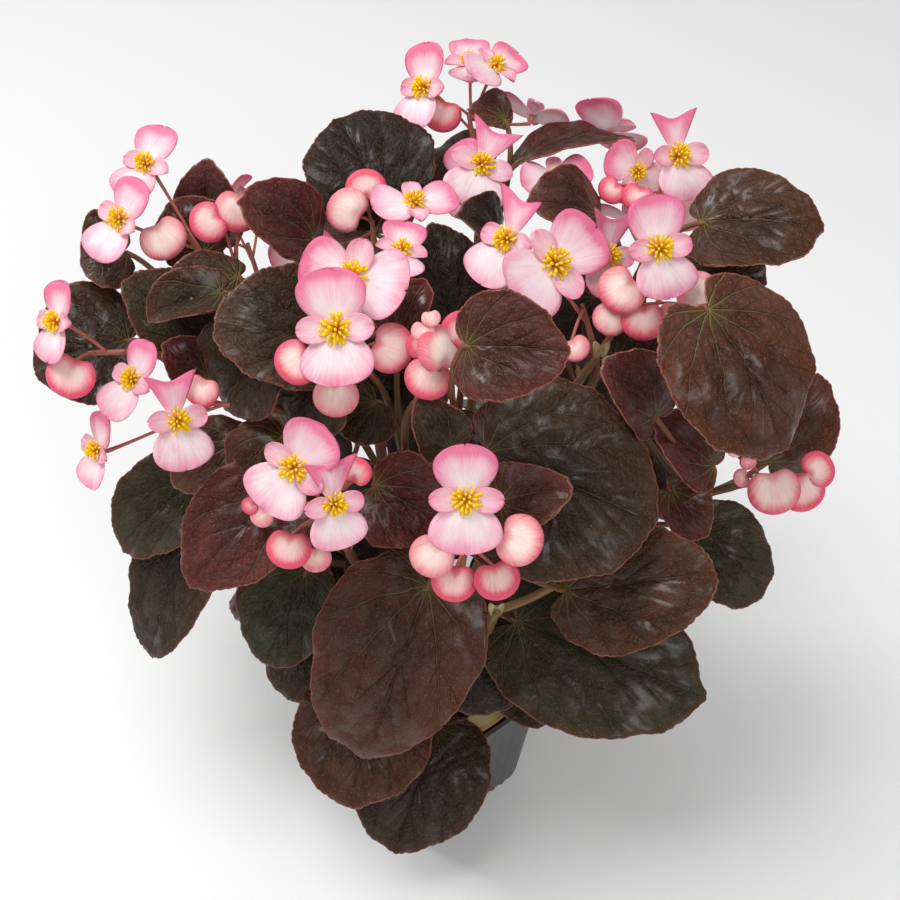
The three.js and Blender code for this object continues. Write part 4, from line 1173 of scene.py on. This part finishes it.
def add_petal(shape, seat, along, normal, side, size, pink, rng, middle, kite):
    """One petal as a thin curved sheet, from its narrow foot to its end, which is round or a kite's."""
    rows, columns = PETAL_MESH
    length, width = size
    share = np.sin(np.linspace(0, 1, rows) * math.pi / 2) ** 0.9 * 0.999
    across_petal = np.linspace(-1, 1, columns)
    s, v = np.meshgrid(share, across_petal, indexing="ij")
    half = np.maximum(petal_half_width(s, middle), 0.06)
    half = half + (0.96 * s ** 0.85 + 0.05 - half) * kite
    notch = rng.uniform(0.0, 0.05) + 0.2 * kite
    y = v * half * width * 0.5
    x = s * length * (1 - notch * np.exp(-(v / (0.3 + 0.35 * kite)) ** 2) * s ** 4)
    v_true = v * half
    rise = -PETAL_CURL * s ** 2 + PETAL_HOOD * v_true ** 2 * s
    frill = s ** 2 * (0.5 + 0.5 * np.abs(v) ** 2)
    rise = rise + 0.55 * frill * np.sin(3.1 * v + rng.uniform(0, 6))
    rise = rise + 0.4 * frill * np.sin(6.3 * v + 2 * s + rng.uniform(0, 6))
    rise = rise + 0.5 * np.sin(4 * s + rng.uniform(0, 6)) * s * (1 - 0.5 * v ** 2)
    edge = np.minimum((1 - np.abs(v)) * half * width * 0.5, (1 - s) * length)
    edge = np.where(s < 0.3, np.maximum(edge, 4.0), edge)
    count = rows * columns
    points = np.outer(x, along) + np.outer(y, side) + np.outer(rise, normal) + np.array(seat)
    under = points - np.array(normal) * PETAL_THICKNESS
    place = np.column_stack([s.ravel(), v_true.ravel(), edge.ravel()])
    faces = []
    for row in range(rows - 1):
        for column in range(columns - 1):
            a = row * columns + column
            quad = [a, a + columns, a + columns + 1, a + 1]
            faces.append(quad)
            faces.append([corner + count for corner in quad[::-1]])
    rim = [row * columns for row in range(rows)]
    rim += [(rows - 1) * columns + column for column in range(1, columns)]
    rim += [row * columns + columns - 1 for row in range(rows - 2, -1, -1)]
    rim += [column for column in range(columns - 2, 0, -1)]
    for first, second in zip(rim, rim[1:] + rim[:1]):
        faces.append([second, first, first + count, second + count])
    nature = (pink, 0.0, rng.uniform(0, 1))
    form = (length, width / 2, rng.uniform(0, 1))
    shape.add(np.vstack([points, under]), faces, PETAL_PAINT, np.vstack([place, place]), nature, form)


def add_pedicel(shape, line, radii, sides, first_side):
    """The thin pale stalk of a bloom or bud."""
    rings = rings_along(line, [(radius, radius) for radius in radii], sides, first_side)
    place = [(step * 0.6, 0, 0) for step in range(len(line)) for _ in range(sides)]
    shape.add(rings, tube_faces(len(line), sides), FLOWER_STALK_PAINT, place, (0.6, 0.75, 0))


def add_bloom(shape, given, fork, number):
    """The four petals of a bloom, two broad and two narrow, and its stalk."""
    rng = np.random.default_rng(900 + number)
    face, top, right = bloom_frame(given)
    size = given.get("size", 1)
    seat = given["centre"] - face * 1.2
    for turn in (0, 270, 180, 90):
        petal = BROAD if turn % 180 == 0 else NARROW
        angle = math.radians(turn + rng.uniform(-5, 5))
        rise = math.radians(PETAL_RISE + petal["lift"] + rng.uniform(-4, 4))
        out = top * math.cos(angle) + right * math.sin(angle)
        along = out * math.cos(rise) + face * math.sin(rise)
        side = out.cross(face).normalized()
        normal = side.cross(along).normalized()
        scale = size * rng.uniform(0.96, 1.05)
        foot = seat + along * 0.6
        sizes = (petal["length"] * scale, petal["width"] * scale * PETAL_WIDTHS[turn])
        shade = BLOOM_PINK + rng.uniform(-0.08, 0.08) + PETAL_SHADES[turn]
        kite = given.get("kite", 0) if turn == 0 else 0
        add_petal(shape, foot, along, normal, side, sizes, shade, rng, petal["middle"], kite)
    back = given["centre"] - face * 6
    hang = fork.lerp(back, 0.6) - face * 3
    line = [given["centre"] - face * 0.6, given["centre"] - face * 2.4] + bend(back, hang, fork, 7)
    count = len(line) - 1
    radii = [1.9, 1.7] + [PEDICEL_RADIUS * (1 + 0.5 * math.exp(-step)) for step in range(count - 1)]
    add_pedicel(shape, line, radii, BLOOM_STALK_SIDES, right)


def add_stamens(name, given, number, material):
    """The golden ball of stamens: club-headed anthers on short filaments, packed into a dome."""
    rng = np.random.default_rng(500 + number)
    face, top, right = bloom_frame(given)
    size = given.get("size", 1)
    shape = Shape()
    golden = math.pi * (3 - math.sqrt(5))
    centre = given["centre"]
    for index in range(STAMENS):
        share = (index + 0.5) / STAMENS
        polar = math.acos(1 - share * 1.06)
        turn = golden * index + rng.uniform(-0.2, 0.2)
        out = right * (math.sin(polar) * math.cos(turn)) + top * (math.sin(polar) * math.sin(turn))
        way = (out + face * (math.cos(polar) * 0.95 + 0.12)).normalized()
        reach = rng.uniform(0.78, 1.08)
        end = centre + face * 0.8
        end = end + out * (ANTHERS_RADIUS * 0.92 * size * reach)
        end = end + face * (ANTHERS_HEIGHT * 0.86 * size * reach * max(0.12, math.cos(polar)))
        start = centre + face * 0.2 + out * (1.4 * size)
        steps = (-2.6, -2.1, -0.8, 0.4, 1.0)
        line = [start] + [end + way * (step * size) for step in steps]
        radii = [0.2, 0.24, 0.5, 0.66, 0.7, 0.34]
        sizes = [(r * size * 1.05, r * size * 0.85) for r in radii]
        rings = rings_along(line, sizes, STAMEN_SIDES, top if abs(way.dot(top)) < 0.8 else right)
        place = []
        for step in range(len(line)):
            for around in range(STAMEN_SIDES):
                place.append((step / len(steps), index * 0.37 + around, rng.uniform(0, 1)))
        shape.add(rings, tube_faces(len(line), STAMEN_SIDES), ONLY_PAINT, place, (0, 0, 0))
    piece = shape.build(name.replace("spray", "bloom"), [material])
    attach(piece, "root")
    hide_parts(name)


def add_bud(shape, given, fork, number):
    """A bud of two rounded valves, shut face to face like a purse, on its stalk."""
    rng = np.random.default_rng(1300 + number)
    face = given.get("look", TO_VIEWER).normalized()
    size = given.get("size", 1) * BUD_LENGTH
    top = (VIEW_UP - face * VIEW_UP.dot(face)).normalized()
    top = Matrix.Rotation(math.radians(-given["spin"]), 3, face) @ top
    side = top.cross(face).normalized()
    base = given["centre"] - top * (0.42 * size)
    around, levels = BUD_MESH
    angle = np.linspace(0, 2 * math.pi, around, endpoint=False)
    from_stalk = np.minimum(angle, 2 * math.pi - angle)
    rim_x = 0.47 - 0.52 * np.cos(angle) * (1 + 0.1 * np.cos(angle))
    rim_x = rim_x + 0.17 * np.exp(-((from_stalk / 0.42) ** 2))
    rim_y = 0.56 * np.sin(angle) * (1 + 0.08 * np.cos(angle))
    scale = np.cos(np.linspace(0, 1, levels + 1)[:-1] * math.pi / 2)
    x = np.append((BUD_HUB + (rim_x[None, :] - BUD_HUB) * scale[:, None]).ravel(), BUD_HUB)
    y = np.append((rim_y[None, :] * scale[:, None]).ravel(), 0.0)
    ring = np.append(np.repeat(scale, around), 0.0)
    swell = np.sqrt(np.clip(1 - ring ** 3.8, 0, 1))
    lip = 0.1 * np.exp(-(((ring - 0.84) / 0.1) ** 2)) - 0.09 * np.exp(-(((ring - 0.62) / 0.16) ** 2))
    dimple = 0.5 * np.exp(-(((x - 0.08) / 0.17) ** 2 + (y / 0.2) ** 2))
    pleats = 0.04 * np.sin(9 * np.arctan2(y, x + 0.02) + rng.uniform(0, 6)) * ring * swell
    thick = 0.5 * BUD_THICKNESS * given.get("size", 1) * (swell * (1 - dimple) + pleats + lip)
    edge = (1 - ring) * np.append(np.tile(np.hypot(rim_x - BUD_HUB, rim_y), levels), 0.6) * size
    points = np.outer(x * size, top) + np.outer(y * size, side) + np.array(base)
    rise = np.outer(thick, face)
    place = np.column_stack([x, y * 2, edge])
    pink = given.get("pink", BUD_PINK) + rng.uniform(-0.3, 0.25)
    faces = [loop[::-1] for loop in sheet_faces(around, levels)[0]]
    form = (size, 0.5 * size, rng.uniform(0, 1))
    nature = (pink, 1.0, rng.uniform(0, 1))
    marks = np.vstack([place, place])
    shape.add(np.vstack([points + rise, points - rise]), faces, PETAL_PAINT, marks, nature, form)
    hang = fork.lerp(base, 0.5) + UP * 1.5
    foot = base + top * (0.1 * size)
    line = [foot + top * 1.2] + bend(foot, hang, fork, 7)
    add_pedicel(shape, line, [PEDICEL_RADIUS] * len(line), BUD_STALK_SIDES, side)


def inner_leaves(materials):
    """The leaves of the middle and the back, which grow from the same stems and close the gaps."""
    shape = Shape()
    lines = []
    for name, stem in STEMS.items():
        lines += stem_lines(stem, stem_ends(name, stem))[0]
    for index, given in enumerate(INNER_LEAVES):
        add_leaf(shape, given, lines, 300 + index, plain=True)
    piece = shape.build("inner_leaves", materials)
    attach(piece, "root")


def soil_heap(material):
    """Crumbly soil inside the pot, with the outline and height of the plain solid that it replaces."""
    rng = np.random.default_rng(71)
    corners = np.array([vertex.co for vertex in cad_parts["soil"].data.vertices]) / MM
    foot_height = corners[:, 2].min()
    foot_half = np.abs(corners[corners[:, 2] < foot_height + 1][:, :2]).max()
    half = np.abs(corners[:, :2]).max()
    around, levels = SOIL_MESH
    angle = np.linspace(0, 2 * math.pi, around, endpoint=False)
    square = (np.abs(np.cos(angle)) ** 10 + np.abs(np.sin(angle)) ** 10) ** -0.1
    shares = 1 - np.arange(levels) / (levels - 0.4)
    reach = np.concatenate([[foot_half], shares * half])
    rise = np.clip((1 - shares) / 0.5, 0, 1) * (SOIL_MOUND + 1)
    height = np.concatenate([[foot_height], SOIL_HEIGHT - 1 + rise])
    points = np.zeros((levels + 1, around, 3))
    points[:, :, 0] = reach[:, None] * square * np.cos(angle)
    points[:, :, 1] = reach[:, None] * square * np.sin(angle)
    points[:, :, 2] = height[:, None]
    crumbs = rng.uniform(-1, 1, (levels + 1, around))
    crumbs = crumbs + np.roll(crumbs, 1, axis=1) + 0.6 * np.sin(angle * 9 + reach[:, None])
    points[1:, :, 2] += 0.45 * crumbs[1:]
    shape = Shape()
    flat = points.reshape(-1, 3)
    shape.add(flat, tube_faces(levels + 1, around), ONLY_PAINT, np.zeros((len(flat), 3)), (0, 0, 0))
    clod_rings = 4
    for _ in range(SOIL_CLODS):
        share, turn = rng.uniform(0, 0.93), rng.uniform(0, 2 * math.pi)
        radius = rng.uniform(0.7, 2.1)
        bed = SOIL_HEIGHT - 1 + min(1, (1 - share) / 0.5) * (SOIL_MOUND + 1)
        middle = Vector((math.cos(turn) * share * half, math.sin(turn) * share * half, bed))
        polar = np.linspace(0.4, math.pi - 0.4, clod_rings)
        line = [middle + UP * (radius * 0.8 * math.cos(step)) for step in polar[::-1]]
        sizes = [(radius * math.sin(step) * rng.uniform(0.8, 1.2),) * 2 for step in polar[::-1]]
        rings = rings_along(line, sizes, CLOD_SIDES, ACROSS)
        faces = tube_faces(clod_rings, CLOD_SIDES)
        shape.add(rings, faces, ONLY_PAINT, [(0, 0, 0)] * len(rings), (0, 0, 0))
    piece = shape.build("soil_heap", [material])
    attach(piece, "root")
    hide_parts("soil")


def joints_and_scales(materials):
    """The thick olive petiole under the foremost bloom, pale scales at joints, and a curled leaf end."""
    shape = Shape()
    add_rod(shape, bend(*OLIVE_PETIOLE, 14), (2.3, 1.9), STALK_PAINT, (0.1, 0.2, 0), STEM_SIDES)
    add_rod(shape, bend(*OLIVE_STEM, 14), (3.0, 2.6), STALK_PAINT, (0.1, 0.1, 0), STEM_SIDES, [0.96])
    for place in SCALED_JOINTS:
        for lean, width in ((-3.5, 6), (3.5, 5)):
            tip = place + ACROSS * lean + UP * 9 + NEAR * 3
            add_blade(shape, place - UP * 3, tip, TO_VIEWER, width, SCALE_PAINT, (0, 0, 0))
    base, tip = CURLED_LEAF
    add_blade(shape, base, tip, TO_VIEWER + UP, CURLED_LEAF_WIDTH, SCALE_PAINT, (0, 0, 0), 6.0)
    piece = shape.build("joints_and_scales", materials)
    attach(piece, "root")


def young_buds(materials):
    """The smallest cream buds, which stand in the forks of three sprays."""
    shape = Shape()
    for index, (given, fork) in enumerate(YOUNG_BUDS):
        add_bud(shape, given, fork, 200 + index)
    piece = shape.build("young_buds", materials)
    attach(piece, "root")


def spray_piece(spray, number, materials, stamen):
    """One spray: its stalk, its blooms and its buds, with the stamens of each bloom as a piece."""
    shape = Shape()
    start = spray["start"] - heading(spray) * 1.0
    line = bend(start, start.lerp(spray["fork"], 0.5), spray["fork"], 8)
    radii = (PEDUNCLE_RADIUS * 1.25, PEDUNCLE_RADIUS * 0.85)
    add_rod(shape, line, radii, FLOWER_STALK_PAINT, (0.6, 0.45, 0))
    count = len(spray["blooms"]) + len(spray["buds"])

    def leave(index):
        return start.lerp(spray["fork"], 0.35 + 0.62 * (index + 0.5) / count)

    for index, given in enumerate(spray["blooms"]):
        add_bloom(shape, given, leave(index), 10 * number + index)
        if "away" not in given:
            add_stamens(f"{spray['name']}_stamens_{index + 1}", given, 10 * number + index, stamen)
    for index, given in enumerate(spray["buds"]):
        add_bud(shape, given, leave(index + len(spray["blooms"])), 10 * number + index)
    piece = shape.build(f"{spray['name']}_petals_and_buds", materials)
    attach(piece, "root")
    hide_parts(spray["name"])


# The view, the light and the floor

def view_from_the_front():
    camera = bpy.data.cameras.new("front_view")
    camera.sensor_width = CAMERA_SENSOR
    camera.lens = CAMERA_SENSOR * VIEW_FOCAL / VIEW_SIZE
    camera.clip_end = 20
    eye = bpy.data.objects.new("front_view", camera)
    eye.location = EYE * MM
    eye.rotation_euler = TO_VIEWER.to_track_quat("Z", "Y").to_euler()
    bpy.context.scene.collection.objects.link(eye)
    bpy.context.scene.camera = eye


# Lamps: the way to each from the plant, its distance and size in metres, and its power in watts
LAMPS = {
    "overhead": (UP + NEAR * 0.15 - ACROSS * 0.25, 1.7, 0.9, 15),
    "front_fill": (NEAR + UP * 0.9 + ACROSS * 0.5, 2.2, 0.9, 10),
    "left_side": (-ACROSS + UP * 0.9 - NEAR * 0.5, 2.0, 0.5, 12),
}
LAMP_AIM = Vector((0, 0, 0.25))
WORLD_LIGHT = 0.44
FLOOR_HALF = 6
FLOOR_TONE = 0.94


def lamp(name, direction, distance, size, power):
    light = bpy.data.lights.new(name, "AREA")
    light.shape = "DISK"
    light.size = size
    light.energy = power
    holder = bpy.data.objects.new(name, light)
    way = direction.normalized()
    holder.location = LAMP_AIM + way * distance
    holder.rotation_euler = way.to_track_quat("Z", "Y").to_euler()
    bpy.context.scene.collection.objects.link(holder)


def studio():
    world = bpy.data.worlds.new("studio")
    world.use_nodes = True
    sky = world.node_tree.nodes["Background"]
    sky.inputs["Color"].default_value = (1, 1, 1, 1)
    sky.inputs["Strength"].default_value = WORLD_LIGHT
    bpy.context.scene.world = world
    for name, given in LAMPS.items():
        lamp(name, *given)
    bpy.context.scene.view_settings.view_transform = "Standard"
    floor = bpy.data.meshes.new("floor")
    corners = [(x * FLOOR_HALF, y * FLOOR_HALF, 0) for x, y in ((-1, -1), (1, -1), (1, 1), (-1, 1))]
    floor.from_pydata(corners, [], [[0, 1, 2, 3]])
    paint = Paint("pale_floor", Roughness=0.9)
    paint.shader.inputs["Base Color"].default_value = (FLOOR_TONE, FLOOR_TONE, FLOOR_TONE, 1)
    floor.materials.append(paint.material)
    ground = bpy.data.objects.new("floor", floor)
    bpy.context.scene.collection.objects.link(ground)


leaf_top = leaf_paint()
underside = under_paint()
fleshy_stem = stem_paint()
blush_petal = petal_paint()
golden_stamen = stamen_paint()
papery_scale = stipule_paint()
foliage_materials = [leaf_top, underside, fleshy_stem, papery_scale]
flower_materials = [blush_petal, fleshy_stem]

view_from_the_front()
studio()
for name, stem in STEMS.items():
    leafy_stem(name, stem, foliage_materials)
for number, spray in enumerate(SPRAYS):
    spray_piece(spray, number, flower_materials, golden_stamen)
inner_leaves(foliage_materials)
joints_and_scales(foliage_materials)
young_buds(flower_materials)
soil_heap(soil_paint())
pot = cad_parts["pot"]
pot.data.materials.clear()
pot.data.materials.append(pot_paint())
